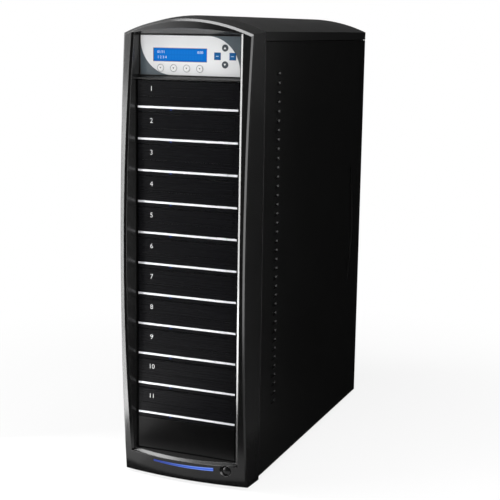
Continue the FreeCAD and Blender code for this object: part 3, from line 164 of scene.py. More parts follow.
class Finish(Tree):
    """A material under construction."""

    def __init__(self, name):
        self.material = bpy.data.materials.new(name)
        self.material.use_nodes = True
        self.material.node_tree.nodes.clear()
        super().__init__(self.material.node_tree)

    def coordinates(self):
        return self.node("ShaderNodeTexCoord", output="Object")

    def place(self):
        """X, Y and Z of the surface point, in metres."""
        x = self.node("ShaderNodeSeparateXYZ", sockets={0: self.coordinates()})
        return self.several(x, "X", "Y", "Z")

    def stretched(self, scale):
        """Object coordinates with each axis scaled, for grain that runs one way."""
        return self.node("ShaderNodeMapping", sockets={"Vector": self.coordinates(), "Scale": scale})

    def noise(self, scale, detail, roughness=0.55, vector=None):
        """Cloudy pattern in object coordinates, or along another vector."""
        return self.node("ShaderNodeTexNoise", sockets={
            "Vector": vector or self.coordinates(),
            "Scale": scale,
            "Detail": detail,
            "Roughness": roughness,
        })

    def spread(self, wire, low, high):
        """A zero-to-one value moved onto a range."""
        return wire * (high - low) + low

    def ease(self, wire, start, end):
        """Zero at start and one at end, smooth between and level beyond; start may be the greater."""
        sockets = {"Value": wire, "From Min": start, "From Max": end}
        return self.node("ShaderNodeMapRange", {"interpolation_type": "SMOOTHSTEP"}, sockets)

    def mark(self, outside):
        """One inside a printed mark, from the signed distance to its edge."""
        return self.ease(outside, PRINT_EDGE, -PRINT_EDGE)

    def mix(self, factor, first, second):
        """A colour between two colours."""
        sockets = {0: factor, 6: colour(first), 7: colour(second)}
        return self.node("ShaderNodeMix", {"data_type": "RGBA"}, sockets, output=2)

    def bump(self, height, depth, strength, edge=None):
        """Normal from a height map, with the edges of the piece softened by a small radius."""
        sockets = {"Height": height, "Distance": depth, "Strength": strength}
        if edge:
            sockets["Normal"] = self.node("ShaderNodeBevel", {"samples": 6}, {"Radius": edge})
        return self.node("ShaderNodeBump", sockets=sockets, output="Normal")

    def close(self, shader):
        """Ends the material with a shader."""
        self.node("ShaderNodeOutputMaterial", sockets={"Surface": shader})
        return self.material

    def surface(self, **sockets):
        """Ends the material with one main shader; socket names use underscores for spaces."""
        named = {key.replace("_", " "): value for key, value in sockets.items()}
        for key in ("Base Color", "Emission Color"):
            if key in named:
                named[key] = colour(named[key])
        return self.close(self.node("ShaderNodeBsdfPrincipled", sockets=named))

    def grained(self, pattern, tints, roughness, depth, strength, edge, relief=None, **sockets):
        """Ends the material: a pattern varies tint and roughness, and it or another one the relief."""
        return self.surface(
            Base_Color=self.mix(pattern, *tints),
            Roughness=self.spread(pattern, *roughness),
            Normal=self.bump(relief or pattern, depth, strength, edge),
            **sockets,
        )


# Finishes


def bezel_moulding():
    """Smooth black moulding with a soft shine and the faint ripple of a large casting."""
    paint = Finish("bezel_moulding")
    return paint.grained(
        paint.noise(22.0, detail=2.0),
        tints=(0.003, 0.005),
        roughness=(0.20, 0.27),
        relief=paint.noise(1800.0, detail=2.0),
        depth=0.00002,
        strength=0.35,
        edge=0.0008,
        Specular_IOR_Level=0.5,
    )


def case_powder_coat(name, tone, edge):
    """Black powder coat: fine orange peel, a little uneven in shine, drawn round over edges."""
    paint = Finish(name)
    return paint.grained(
        paint.noise(9.0, detail=3.0),
        tints=(tone * 0.8, tone * 1.2),
        roughness=(0.32, 0.42),
        relief=paint.noise(900.0, detail=3.0),
        depth=0.00006,
        strength=0.5,
        edge=edge,
        Specular_IOR_Level=0.3,
    )


def drive_moulding():
    """Drive fronts and trays: black plastic with fine level brushing."""
    paint = Finish("drive_moulding")
    along = paint.stretched((6.0, 400.0, 900.0))
    return paint.grained(
        paint.noise(2.0, detail=4.0, roughness=0.7, vector=along),
        tints=((0.001, 0.001, 0.0014), (0.0045, 0.0045, 0.0058)),
        roughness=(0.22, 0.32),
        depth=0.00005,
        strength=0.35,
        edge=0.0004,
        Specular_IOR_Level=0.12,
    )


def blank_polish():
    """Polished black cover of the spare bay."""
    paint = Finish("blank_polish")
    return paint.grained(
        paint.noise(14.0, detail=2.0),
        tints=(0.0008, 0.0014),
        roughness=(0.18, 0.24),
        depth=0.0002,
        strength=0.1,
        edge=0.0005,
        Specular_IOR_Level=0.3,
    )


def bright_trim():
    """Satin bright metal with level brushing."""
    paint = Finish("bright_trim")
    along = paint.stretched((20.0, 600.0, 2600.0))
    return paint.grained(
        paint.noise(2.0, detail=3.0, vector=along),
        tints=((0.78, 0.78, 0.82), (0.92, 0.92, 0.95)),
        roughness=(0.32, 0.46),
        depth=0.00003,
        strength=0.3,
        edge=0.0003,
        Metallic=0.55,
    )


def bare_sheet():
    """Zinc-coated steel sheet with a dull spangle."""
    paint = Finish("bare_sheet")
    spangle = paint.node(
        "ShaderNodeTexVoronoi",
        {"feature": "F1"},
        {"Vector": paint.coordinates(), "Scale": 140.0},
        output="Color",
    )
    return paint.grained(
        paint.node("ShaderNodeSeparateColor", sockets={0: spangle}),
        tints=((0.42, 0.43, 0.45), (0.60, 0.61, 0.63)),
        roughness=(0.30, 0.48),
        depth=0.00002,
        strength=0.3,
        edge=0.0004,
        Metallic=1.0,
    )


def fan_plastic():
    """Black glass-filled plastic of the fans and the loader decks."""
    paint = Finish("fan_plastic")
    return paint.grained(
        paint.noise(1400.0, detail=3.0),
        tints=(0.012, 0.020),
        roughness=(0.42, 0.55),
        depth=0.00003,
        strength=0.4,
        edge=0.0005,
        Specular_IOR_Level=0.4,
    )


def foot_rubber():
    """Dull black rubber."""
    paint = Finish("foot_rubber")
    return paint.grained(
        paint.noise(700.0, detail=4.0),
        tints=(0.012, 0.024),
        roughness=(0.75, 0.92),
        depth=0.00012,
        strength=0.5,
        edge=0.0008,
        Specular_IOR_Level=0.25,
    )


def plated_steel():
    """Bright plated screws, a little scuffed."""
    paint = Finish("plated_steel")
    return paint.grained(
        paint.noise(900.0, detail=4.0),
        tints=((0.50, 0.50, 0.51), (0.68, 0.68, 0.69)),
        roughness=(0.22, 0.4),
        depth=0.00002,
        strength=0.3,
        edge=0.0003,
        Metallic=1.0,
    )


def panel_moulding():
    """Dark grey moulding behind the printed film."""
    paint = Finish("panel_moulding")
    return paint.grained(
        paint.noise(1500.0, detail=2.0),
        tints=(0.035, 0.05),
        roughness=(0.45, 0.6),
        depth=0.00002,
        strength=0.3,
        edge=0.0004,
    )


def from_hotkey(x):
    """Sideways distance from the nearest hotkey's middle."""
    return (x - HOTKEY_FIRST).wrapped(HOTKEY_PITCH)


def printed_film():
    """White film with slate corners, rings round the hotkeys and a thin frame round the display."""
    paint = Finish("printed_film")
    x, _, z = paint.place()
    # Two opposite corners are cut off by quarter circles
    radius = 0.046
    line = 0.00022
    right = (x - (FILM_HALF - radius)).most(0.0)
    above = (z - (FILM_TOP - radius)).most(0.0)
    upper = paint.ease(distance(right, above), radius - line, radius + line)
    left = ((radius - FILM_HALF) - x).most(0.0)
    below = ((FILM_BOTTOM + radius) - z).most(0.0)
    lower = paint.ease(distance(left, below), radius - line, radius + line)
    slate = upper.most(lower)
    # Thin ring round each hotkey
    ring_radius = 0.0047
    row_middle = HOTKEY_FIRST + 1.5 * HOTKEY_PITCH
    row_half = 2 * HOTKEY_PITCH
    in_row = paint.ease(abs(x - row_middle), 1.01 * row_half, row_half)
    away = distance(from_hotkey(x), z - HOTKEY_LEVEL)
    ring = paint.ease(abs(away - ring_radius), 0.00034, 0.0002) * in_row
    # Hairline round the display
    off_x = abs(x - DISPLAY_ACROSS) - (DISPLAY_RIGHT - DISPLAY_LEFT) / 2
    off_z = abs(z - DISPLAY_LEVEL) - (DISPLAY_TOP - DISPLAY_BOTTOM) / 2
    hairline = paint.ease(off_x.most(off_z), 0.0006, 0.0004)
    white = paint.mix(hairline, (0.76, 0.765, 0.77), (0.42, 0.40, 0.40))
    ringed = paint.mix(ring, white, (0.22, 0.23, 0.25))
    grain = paint.noise(2500.0, detail=2.0)
    return paint.surface(
        Base_Color=paint.mix(slate, ringed, (0.056, 0.078, 0.093)),
        Roughness=paint.spread(grain, 0.34, 0.44),
        Normal=paint.bump(grain, depth=0.00001, strength=0.3),
    )


def display_glow():
    """Lit blue display with two rows of blank character cells."""
    paint = Finish("display_glow")
    x, _, z = paint.place()
    columns = 16
    field_share = 0.86
    width = (DISPLAY_RIGHT - DISPLAY_LEFT) * field_share / columns
    height = 0.0066
    line = 0.0001
    off_x = abs(x - DISPLAY_ACROSS)
    off_z = abs(z - DISPLAY_LEVEL)
    # No cell lies on the display's middle lines: the nearest ones are half a cell away
    cell_x = abs((x - DISPLAY_ACROSS - width / 2).wrapped(width))
    cell_z = abs((z - DISPLAY_LEVEL - height / 2).wrapped(height))
    in_column = paint.ease(cell_x, width * 0.44, width * 0.40)
    in_row = paint.ease(cell_z, height * 0.42, height * 0.39)
    half_field = width * columns / 2
    in_block = paint.ease(off_x, half_field + line, half_field - line)
    in_rows = paint.ease(off_z, height + line, height - line)
    cells = in_column * in_row * in_block * in_rows
    edge = paint.ease(off_z, 0.005, 0.009)
    field = paint.mix(edge, (0.001, 0.17, 0.64), (0.001, 0.13, 0.52))
    cloud = paint.noise(60.0, detail=2.0)
    return paint.surface(
        Base_Color=(0.0, 0.01, 0.04),
        Roughness=paint.spread(cloud, 0.12, 0.2),
        Emission_Color=paint.mix(cells * 0.5, field, (0.004, 0.21, 0.72)),
        Emission_Strength=0.85,
        Specular_IOR_Level=0.1,
    )


def triangle(across, rise, tip, base):
    """Signed distance from a triangle whose tip and base lie above and below its middle."""
    slope = 1.6
    return (across * slope + rise - tip).most(-base - rise)


def key_cap(paint, tint, roughness, edge, **sockets):
    """Ends the material of a key: fine grain under a printed tint."""
    grain = paint.noise(1600.0, detail=2.0)
    return paint.surface(
        Base_Color=tint,
        Roughness=paint.spread(grain, *roughness),
        Normal=paint.bump(grain, depth=0.00002, strength=0.3, edge=edge),
        **sockets,
    )


def arrow_key(name, level, direction):
    """Slate round key with a white triangle that points up or down."""
    paint = Finish(name)
    x, _, z = paint.place()
    arrow = triangle(abs(x - KEY_ACROSS), (z - level) * direction, tip=0.0013, base=0.0014)
    tint = paint.mix(paint.mark(arrow), (0.030, 0.040, 0.050), (0.75, 0.75, 0.75))
    return key_cap(paint, tint, roughness=(0.4, 0.5), edge=0.0003)


def hotkey():
    """White round key with a small dark triangle that points down."""
    paint = Finish("hotkey")
    x, _, z = paint.place()
    arrow = triangle(abs(from_hotkey(x)), HOTKEY_LEVEL - z, tip=0.0011, base=0.0010)
    tint = paint.mix(paint.mark(arrow), (0.78, 0.78, 0.78), (0.03, 0.035, 0.04))
    return key_cap(paint, tint, roughness=(0.4, 0.5), edge=0.0003)


def square_key():
    """Blue square key with a pale bar across its middle; the pair stands on both sides of the arrows."""
    paint = Finish("square_key")
    x, _, z = paint.place()
    half_length = 0.0019
    half_height = 0.00045
    across = abs(abs(x - KEY_ACROSS) - KEY_REACH)
    bar = (across - half_length).most(abs(z - KEY_LEVEL) - half_height)
    tint = paint.mix(paint.mark(bar), (0.0, 0.095, 0.29), (0.42, 0.58, 0.75))
    return key_cap(paint, tint, roughness=(0.32, 0.42), edge=0.0004, Specular_IOR_Level=0.2)


def light_pipe():
    """Blue light bar, deep at its thin end and paler towards the lamp, with a painted highlight along
    both long edges.
    """
    paint = Finish("light_pipe")
    x, _, z = paint.place()
    along = paint.ease(x, -0.046, 0.03)
    # The bar sags like a hammock and thickens from left to right
    sag = 0.716
    lowest = 0.02495
    taper = 0.00889
    half_at_middle = 0.00169
    middle = x * x * sag + lowest
    half = x * taper + half_at_middle
    # Both long edges are painted paler than the core: a painted highlight
    painted_edge_highlight = paint.ease(abs(z - middle) / half, 0.35, 1.0)
    core = paint.mix(along, (0.002, 0.010, 0.11), (0.035, 0.13, 0.70))
    pale = paint.mix(along, (0.004, 0.02, 0.20), (0.24, 0.38, 0.95))
    cloud = paint.noise(90.0, detail=2.0)
    return paint.surface(
        Base_Color=(0.005, 0.015, 0.1),
        Roughness=paint.spread(cloud, 0.18, 0.28),
        Emission_Color=paint.mix(painted_edge_highlight, core, pale),
        Emission_Strength=0.8,
    )


def status_lamp():
    """Small blue lamp in each drive front."""
    paint = Finish("status_lamp")
    cloud = paint.noise(600.0, detail=2.0)
    return paint.surface(
        Base_Color=(0.005, 0.01, 0.05),
        Roughness=paint.spread(cloud, 0.2, 0.3),
        Emission_Color=paint.mix(cloud, (0.002, 0.03, 0.26), (0.006, 0.07, 0.50)),
        Emission_Strength=0.5,
    )


def circuit_board():
    """Green solder mask with darker tracks."""
    paint = Finish("circuit_board")
    tracks = paint.node(
        "ShaderNodeTexBrick",
        {"offset": 0.35},
        {"Vector": paint.stretched((60.0, 1.0, 140.0)), "Scale": 4.0, "Mortar Size": 0.03},
        output="Fac",
    )
    tint = paint.mix(tracks, (0.010, 0.085, 0.030), (0.022, 0.15, 0.055))
    return paint.surface(Base_Color=tint, Roughness=paint.spread(tracks, 0.32, 0.5))


def mains_socket():
    """Black inlet with plated pins."""
    paint = Finish("mains_socket")
    x, y, z = paint.place()
    pin_reach = 0.007
    outer_level = 0.034
    centre_level = 0.038
    blade = 0.0011
    half_width = 0.0012
    line = 0.00005
    off_x = abs(x - INLET_ACROSS)
    outer = abs(off_x - pin_reach).most(abs(z - outer_level) - blade)
    centre = off_x.most(abs(z - centre_level) - blade)
    clear_of_floor = paint.ease(y, 0.2308, 0.2312)
    pin = paint.ease(outer.least(centre), half_width + line, half_width - line) * clear_of_floor
    grain = paint.noise(1400.0, detail=3.0)
    shell = paint.mix(grain, 0.012, 0.020)
    return paint.surface(
        Base_Color=paint.mix(pin, shell, (0.72, 0.66, 0.52)),
        Roughness=paint.spread(grain, 0.42, 0.55) - pin * 0.2,
        Metallic=pin,
        Normal=paint.bump(grain, depth=0.00003, strength=0.4, edge=0.0004),
    )


def rocker_print():
    """Black rocker with a white bar at its upper end and a ring at its lower end."""
    paint = Finish("rocker_print")
    x, y, z = paint.place()
    level = 0.071
    mark_reach = 0.0055
    stroke = 0.00035
    bar_half = 0.0022
    ring_radius = 0.0021
    off_x = x - INLET_ACROSS
    off_z = z - level
    bar = (abs(off_x) - stroke).most(abs(off_z - mark_reach) - bar_half)
    ring = abs(distance(off_x, off_z + mark_reach) - ring_radius) - stroke
    on_face = paint.ease(y, 0.2465, 0.2475)
    mark = paint.mark(bar.least(ring)) * on_face
    grain = paint.noise(1400.0, detail=3.0)
    black = paint.mix(grain, 0.010, 0.018)
    return paint.surface(
        Base_Color=paint.mix(mark, black, (0.72, 0.72, 0.70)),
        Roughness=paint.spread(grain, 0.3, 0.42),
        Normal=paint.bump(grain, depth=0.00003, strength=0.4, edge=0.0005),
    )


def lit_digit():
    """White lit characters of the display."""
    paint = Finish("lit_digit")
    cloud = paint.noise(900.0, detail=2.0)
    return paint.surface(
        Base_Color=0.1,
        Roughness=paint.spread(cloud, 0.4, 0.5),
        Emission_Color=paint.mix(cloud, (0.55, 0.72, 0.90), (0.75, 0.88, 1.0)),
        Emission_Strength=0.9,
    )


def number_ink():
    """Pale ink of the drive numbers."""
    paint = Finish("number_ink")
    grain = paint.noise(3000.0, detail=2.0)
    tint = paint.mix(grain, 0.62, 0.78)
    return paint.surface(Base_Color=tint, Roughness=paint.spread(grain, 0.5, 0.65))


def paint_node(name, material):
    """Gives a CAD node its finish."""
    mesh = nodes[name].data
    mesh.materials.clear()
    mesh.materials.append(material)


moulding = bezel_moulding()
# The top cover and the side panels share one black powder coat in two tones: the lighter top is painted
# light, the darker sides painted shade
lit_top_coat = case_powder_coat("top_powder_coat", tone=0.007, edge=0.0008)
shaded_side_coat = case_powder_coat("side_powder_coat", tone=0.003, edge=0.0022)
rear_coat = case_powder_coat("rear_powder_coat", tone=0.014, edge=0.0008)
drive_black = drive_moulding()
trim = bright_trim()
sheet = bare_sheet()
plastic = fan_plastic()
plated = plated_steel()
ink = number_ink()
digit_glow = lit_digit()

NODE_FINISHES = {
    "front_bezel": moulding,
    "power_button": moulding,
    "light_bar": light_pipe(),
    "control_panel": panel_moulding(),
    "control_overlay": printed_film(),
    "lcd_module": display_glow(),
    "control_board": circuit_board(),
    "up_button": arrow_key("up_key", KEY_LEVEL + KEY_REACH, 1),
    "down_button": arrow_key("down_key", KEY_LEVEL - KEY_REACH, -1),
    "drive_housings": sheet,
    "drive_decks": plastic,
    "drive_bezels": drive_black,
    "drive_trim_strips": trim,
    "drive_status_lights": status_lamp(),
    "blank_bay_cover": blank_polish(),
    "drive_cage": sheet,
    "top_cover": lit_top_coat,
    "left_side_panel": shaded_side_coat,
    "right_side_panel": shaded_side_coat,
    "base_pan": rear_coat,
    "rear_panel": rear_coat,
    "fan_frames": plastic,
    "power_supply": sheet,
    "power_inlet": mains_socket(),
    "power_switch": rocker_print(),
    "rubber_feet": foot_rubber(),
    "case_screws": plated,
}
NODE_FINISHES.update(dict.fromkeys(TRAYS, drive_black))
NODE_FINISHES.update(dict.fromkeys(EJECTS, trim))
NODE_FINISHES.update(dict.fromkeys(HOTKEYS, hotkey()))
NODE_FINISHES.update(dict.fromkeys(SQUARE_KEYS, square_key()))
NODE_FINISHES.update(dict.fromkeys(ROTORS, plastic))
for node_name, finish in NODE_FINISHES.items():
    paint_node(node_name, finish)


# Small pieces that the scene adds


class Recipe(Tree):
    """A geometry node tree with named inputs, ending in one plain mesh."""

    def __init__(self, name, **inputs):
        super().__init__(bpy.data.node_groups.new(name, "GeometryNodeTree"))
        sockets = self.tree.interface
        sockets.new_socket("Geometry", in_out="INPUT", socket_type="NodeSocketGeometry")
        sockets.new_socket("Geometry", in_out="OUTPUT", socket_type="NodeSocketGeometry")
        self.identifiers = {}
        for label, kind in inputs.items():
            made = sockets.new_socket(label, in_out="INPUT", socket_type=kind)
            self.identifiers[label] = made.identifier
        self.entry = self.tree.nodes.new("NodeGroupInput")

    def given(self, label):
        return Wire(self, self.entry.outputs[label])

    def model(self):
        """The shape of the object that the recipe copies."""
        sockets = {"Object": self.given("model")}
        return self.node("GeometryNodeObjectInfo", sockets=sockets, output="Geometry")

    def close(self, shape):
        """Ends the tree: loose copies become one mesh."""
        solid = self.node("GeometryNodeRealizeInstances", sockets={0: shape})
        self.node("NodeGroupOutput", sockets={0: solid})


def copies_recipe(name, roll):
    """Copies of a model on points, each with its own chance turn of up to the given angles."""
    recipe = Recipe(
        name,
        model="NodeSocketObject",
        scale="NodeSocketFloat",
        seed="NodeSocketInt",
    )
    turns = recipe.node(
        "FunctionNodeRandomValue",
        {"data_type": "FLOAT_VECTOR"},
        {0: [-angle for angle in roll], 1: list(roll), "Seed": recipe.given("seed")},
    )
    copies = recipe.node("GeometryNodeInstanceOnPoints", sockets={
        "Points": recipe.given("Geometry"),
        "Instance": recipe.model(),
        "Rotation": turns,
        "Scale": recipe.given("scale"),
    })
    recipe.close(copies)
    return recipe


def clip_recipe():
    """Copies of a model round a centre, each turned to face it."""
    recipe = Recipe(
        "clips_round_a_well",
        model="NodeSocketObject",
        radius="NodeSocketFloat",
        count="NodeSocketInt",
    )
    circle = recipe.node("GeometryNodeMeshCircle", sockets={
        "Vertices": recipe.given("count"),
        "Radius": recipe.given("radius"),
    })
    index = recipe.node("GeometryNodeInputIndex")
    angle = index * 2 * math.pi / recipe.given("count")
    tabs = recipe.node("GeometryNodeInstanceOnPoints", sockets={
        "Points": circle,
        "Instance": recipe.model(),
        "Rotation": recipe.node("ShaderNodeCombineXYZ", sockets={"Z": angle}),
    })
    diagonal = recipe.node("GeometryNodeTransform", sockets={
        0: tabs,
        "Rotation": (0.0, 0.0, math.pi / 4),
    })
    placed = recipe.node("GeometryNodeInstanceOnPoints", sockets={
        "Points": recipe.given("Geometry"),
        "Instance": diagonal,
    })
    recipe.close(placed)
    return recipe


def link(thing):
    """Puts an object into the scene."""
    bpy.context.scene.collection.objects.link(thing)


def grown(name, points, recipe, **inputs):
    """Runs a recipe on bare points and keeps the result as a plain mesh."""
    mesh = bpy.data.meshes.new(f"{name}_points")
    mesh.from_pydata(points, [], [])
    piece = bpy.data.objects.new(name, mesh)
    link(piece)
    modifier = piece.modifiers.new("recipe", "NODES")
    modifier.node_group = recipe.tree
    for label, value in inputs.items():
        modifier[recipe.identifiers[label]] = value
    graph = bpy.context.evaluated_depsgraph_get()
    result = bpy.data.meshes.new_from_object(piece.evaluated_get(graph))
    piece.modifiers.remove(modifier)
    piece.data = result
    return piece


def model_from(name, build, finish):
    """An object that isn't in the scene yet, filled by a function that draws into a bmesh."""
    shape = bmesh.new()
    build(shape)
    bmesh.ops.recalc_face_normals(shape, faces=shape.faces)
    mesh = bpy.data.meshes.new(name)
    shape.to_mesh(mesh)
    shape.free()
    mesh.materials.append(finish)
    return bpy.data.objects.new(name, mesh)


def outline(shape, spots, depth):
    """A closed row of edges at one depth along Y."""
    corners = [shape.verts.new((x, depth, z)) for x, z in spots]
    return [shape.edges.new((corners[k - 1], corners[k])) for k in range(len(corners))]


def ring(shape, radius, depth, count):
    """A circle of edges about the Y axis."""
    angles = [2 * math.pi * k / count for k in range(count)]
    spots = [(radius * math.cos(angle), radius * math.sin(angle)) for angle in angles]
    return outline(shape, spots, depth)


def cross_outline(shape, reach, width, depth):
    """The twelve edges of a plus sign about the Y axis."""
    spots = []
    for turn in range(4):
        cosine = math.cos(turn * math.pi / 2)
        sine = math.sin(turn * math.pi / 2)
        for x, z in ((reach, -width), (reach, width), (width, width)):
            spots.append((x * cosine - z * sine, x * sine + z * cosine))
    return outline(shape, spots, depth)


def screw_shape(shape):
    """Round-head screw along Y with a cross recess; its seat is at zero."""
    sides = 24
    # Radius and place along Y, from the shank's end to the crown
    profile = [
        (0.0014, -0.004),
        (0.0014, 0.0),
        (0.0032, 0.0),
        (0.0032, 0.0010),
        (0.0029, 0.0015),
        (0.0023, 0.0019),
    ]
    loops = [ring(shape, radius, depth, sides) for radius, depth in profile]
    loops.append(cross_outline(shape, reach=0.0015, width=0.00042, depth=0.00212))
    loops.append(cross_outline(shape, reach=0.0009, width=0.00028, depth=0.0009))
    for first, second in zip(loops, loops[1:]):
        bmesh.ops.bridge_loops(shape, edges=first + second)
    bmesh.ops.edgeloop_fill(shape, edges=loops[0])
    bmesh.ops.edgeloop_fill(shape, edges=loops[-1])


def clip_shape(shape):
    """Small tab that holds a disc when the tower lies on its side: a foot and a lip over the well."""
    side = [
        (-0.0030, 0.0),
        (0.0032, 0.0),
        (0.0032, 0.0010),
        (0.0020, 0.0016),
        (-0.0046, 0.0016),
        (-0.0052, 0.0011),
        (-0.0052, 0.0007),
        (-0.0030, 0.0007),
    ]
    half = 0.0045
    softening = 0.00025
    low = [shape.verts.new((x, -half, z)) for x, z in side]
    high = [shape.verts.new((x, half, z)) for x, z in side]
    shape.faces.new(low)
    shape.faces.new(high)
    for k in range(len(side)):
        shape.faces.new((low[k - 1], low[k], high[k], high[k - 1]))
    rims = [edge for edge in shape.edges if edge.calc_length() < 2.5 * half]
    bmesh.ops.bevel(shape, geom=rims, offset=softening, segments=2, affect="EDGES", profile=0.5)


def box(shape, low, high):
    """A plain box between two corners."""
    middle = (Vector(low) + Vector(high)) / 2
    scale = Matrix.Diagonal((*(Vector(high) - Vector(low)), 1.0))
    bmesh.ops.create_cube(shape, size=1.0, matrix=Matrix.Translation(middle) @ scale)


def span(name, axis):
    """Least and greatest place of a CAD node along an axis."""
    thing = nodes[name]
    places = [(thing.matrix_world @ corner.co)[axis] for corner in thing.data.vertices]
    return min(places), max(places)


def tab_shape(shape):
    """Two thin tabs in the slit under the cover's lips, at the rear and short of the corners."""
    slack = 0.00002
    corner_gap = 0.0035
    gauge = 0.001
    edge = span("rear_panel", 0)[1] + slack
    corner = span("right_side_panel", 0)[1] - corner_gap
    low = span("right_side_panel", 2)[1] + slack
    high = span("top_cover", 2)[0] - slack
    front = REAR_FACE - gauge
    box(shape, (edge, front, low), (corner, REAR_FACE, high))
    box(shape, (-corner, front, low), (-edge, REAR_FACE, high))


def screw_places():
    """Seats of the rear screws: side folds, supply and both fans."""
    fold_reach = 0.091
    supply_reach = 0.071
    fan_reach = 0.03575
    places = [(side * fold_reach, level) for side in (-1, 1) for level in (0.068, 0.308, 0.548)]
    places += [(side * supply_reach, level) for side in (-1, 1) for level in (0.013, 0.091)]
    for centre in (0.238, 0.438):
        places += [(side * fan_reach, centre + step * fan_reach) for side in (-1, 1) for step in (-1, 1)]
    return [(x, REAR_FACE, z) for x, z in places]


def rear_screws():
    """Screws with cross recesses, each turned its own way, instead of the CAD screws."""
    recipe = copies_recipe("scattered_copies", (0.0, math.pi, 0.0))
    model = model_from("screw_model", screw_shape, plated)
    screws = grown("rear_screws", screw_places(), recipe, model=model, scale=1.0, seed=7)
    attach(screws, "tower")
    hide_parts("case_screws")


def lip_tabs():
    """The tabs that close the slit under the cover's lips."""
    tabs = model_from("lip_tabs", tab_shape, lit_top_coat)
    link(tabs)
    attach(tabs, "tower")


def disc_clips():
    """Four tabs round the well of every tray."""
    tray_top = 0.029
    well_radius = 0.0640
    recipe = clip_recipe()
    model = model_from("clip_model", clip_shape, drive_black)
    for name, low in zip(TRAYS, DRIVE_BOTTOMS):
        centre = (0.0, DISC_CENTRE, low + tray_top)
        clips = grown(f"{name}_clips", [centre], recipe, model=model, radius=well_radius, count=4)
        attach(clips, name)


def lettering(name, words, height, place, align, finish):
    """Flat characters on a front face, as a mesh with its place in it."""
    digit_share = 0.7
    curve = bpy.data.curves.new(f"{name}_curve", "FONT")
    curve.body = words
    curve.size = height / digit_share
    curve.align_x = align
    curve.resolution_u = 3
    writer = bpy.data.objects.new(f"{name}_writer", curve)
    link(writer)
    graph = bpy.context.evaluated_depsgraph_get()
    mesh = bpy.data.meshes.new_from_object(writer.evaluated_get(graph))
    bpy.data.objects.remove(writer)
    mesh.transform(Matrix.Translation(place) @ Matrix.Rotation(math.pi / 2, 4, "X"))
    mesh.materials.clear()
    mesh.materials.append(finish)
    piece = bpy.data.objects.new(name, mesh)
    link(piece)
    return piece


def drive_numbers():
    """A number on every tray door."""
    height = 0.0066
    across = -0.0525
    rise = 0.0275
    proud = 0.00004
    for k, (name, low) in enumerate(zip(TRAYS, DRIVE_BOTTOMS), start=1):
        place = (across, DOOR_FACE - proud, low + rise)
        number = lettering(f"drive_number_{k:02d}", str(k), height, place, "CENTER", ink)
        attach(number, name)


def display_characters():
    """Plain numbers on the lit display."""
    height = 0.0034
    glass = -0.22213
    inset = 0.0055
    upper_row = 0.58405
    lower_row = 0.57720
    rows = (
        ("display_count", "01/11", "LEFT", DISPLAY_LEFT + inset, upper_row),
        ("display_time", "0:00", "RIGHT", DISPLAY_RIGHT - inset, upper_row),
        ("display_bar", "1 2 3 4", "LEFT", DISPLAY_LEFT + inset, lower_row),
    )
    for name, words, align, across, level in rows:
        row = lettering(name, words, height, (across, glass, level), align, digit_glow)
        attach(row, "tower")


rear_screws()
lip_tabs()
disc_clips()
drive_numbers()
display_characters()


# Stage: white surroundings, pale floor, cards for the reflections, soft boxes and the photo's camera


def seen_directly(paint):
    """One for what the camera, a reflection or clear plastic sees, zero for light on the object."""
    camera_ray = paint.node("ShaderNodeLightPath", output="Is Camera Ray")
    glossy, clear = paint.several(camera_ray, "Is Glossy Ray", "Is Transmission Ray")
    return camera_ray.most(glossy).most(clear)


def white_surroundings(level):
    """Plain white to look at, and light of a lower level on the object."""
    world = bpy.data.worlds.new("white_surroundings")
    world.use_nodes = True
    world.node_tree.nodes.clear()
    paint = Tree(world.node_tree)
    strength = seen_directly(paint) * (1.0 - level) + level
    light = paint.node("ShaderNodeBackground", sockets={"Color": colour(1.0), "Strength": strength})
    paint.node("ShaderNodeOutputWorld", sockets={"Surface": light})
    bpy.context.scene.world = world


def pale_floor():
    """Matt floor near the object that turns into the white surroundings further off."""
    paint = Finish("pale_floor")
    x, y, _ = paint.place()
    far = paint.ease(distance(x, y), 0.3, 0.9)
    whitened = paint.spread(far, 0.84, 1.0) * seen_directly(paint)
    matt = paint.node("ShaderNodeBsdfDiffuse", sockets={"Color": colour(0.92)})
    glow = paint.node("ShaderNodeEmission", sockets={"Color": colour(1.0), "Strength": 1.0})
    both = paint.node("ShaderNodeMixShader", sockets={0: whitened, 1: matt, 2: glow})
    mesh = bpy.data.meshes.new("floor")
    reach = 6.0
    corners = [(-reach, -reach, 0), (reach, -reach, 0), (reach, reach, 0), (-reach, reach, 0)]
    mesh.from_pydata(corners, [], [(0, 1, 2, 3)])
    mesh.materials.append(paint.close(both))
    floor = bpy.data.objects.new("floor", mesh)
    link(floor)


def card(name, low, high, shader, sockets):
    """A thin card that only reflections see."""
    paint = Finish(f"{name}_cloth")
    cloth = paint.close(paint.node(shader, sockets=sockets))
    board = model_from(name, lambda shape: box(shape, low, high), cloth)
    board.visible_camera = False
    board.visible_diffuse = False
    board.visible_shadow = False
    board.visible_transmission = False
    link(board)


def black_card(name, low, high, tone=0.01):
    """Keeps the black surfaces black."""
    card(name, low, high, "ShaderNodeBsdfDiffuse", {"Color": colour(tone)})


def bright_card(name, low, high, glow):
    """Draws a highlight without lighting the rest."""
    card(name, low, high, "ShaderNodeEmission", {"Color": colour(1.0), "Strength": glow})


def soft_box(name, place, target, width, height, power):
    """A rectangular lamp that faces a target."""
    light = bpy.data.lights.new(name, "AREA")
    light.shape = "RECTANGLE"
    light.size = width
    light.size_y = height
    light.energy = power
    lamp = bpy.data.objects.new(name, light)
    lamp.location = place
    lamp.rotation_euler = (Vector(target) - Vector(place)).to_track_quat("-Z", "Y").to_euler()
    link(lamp)


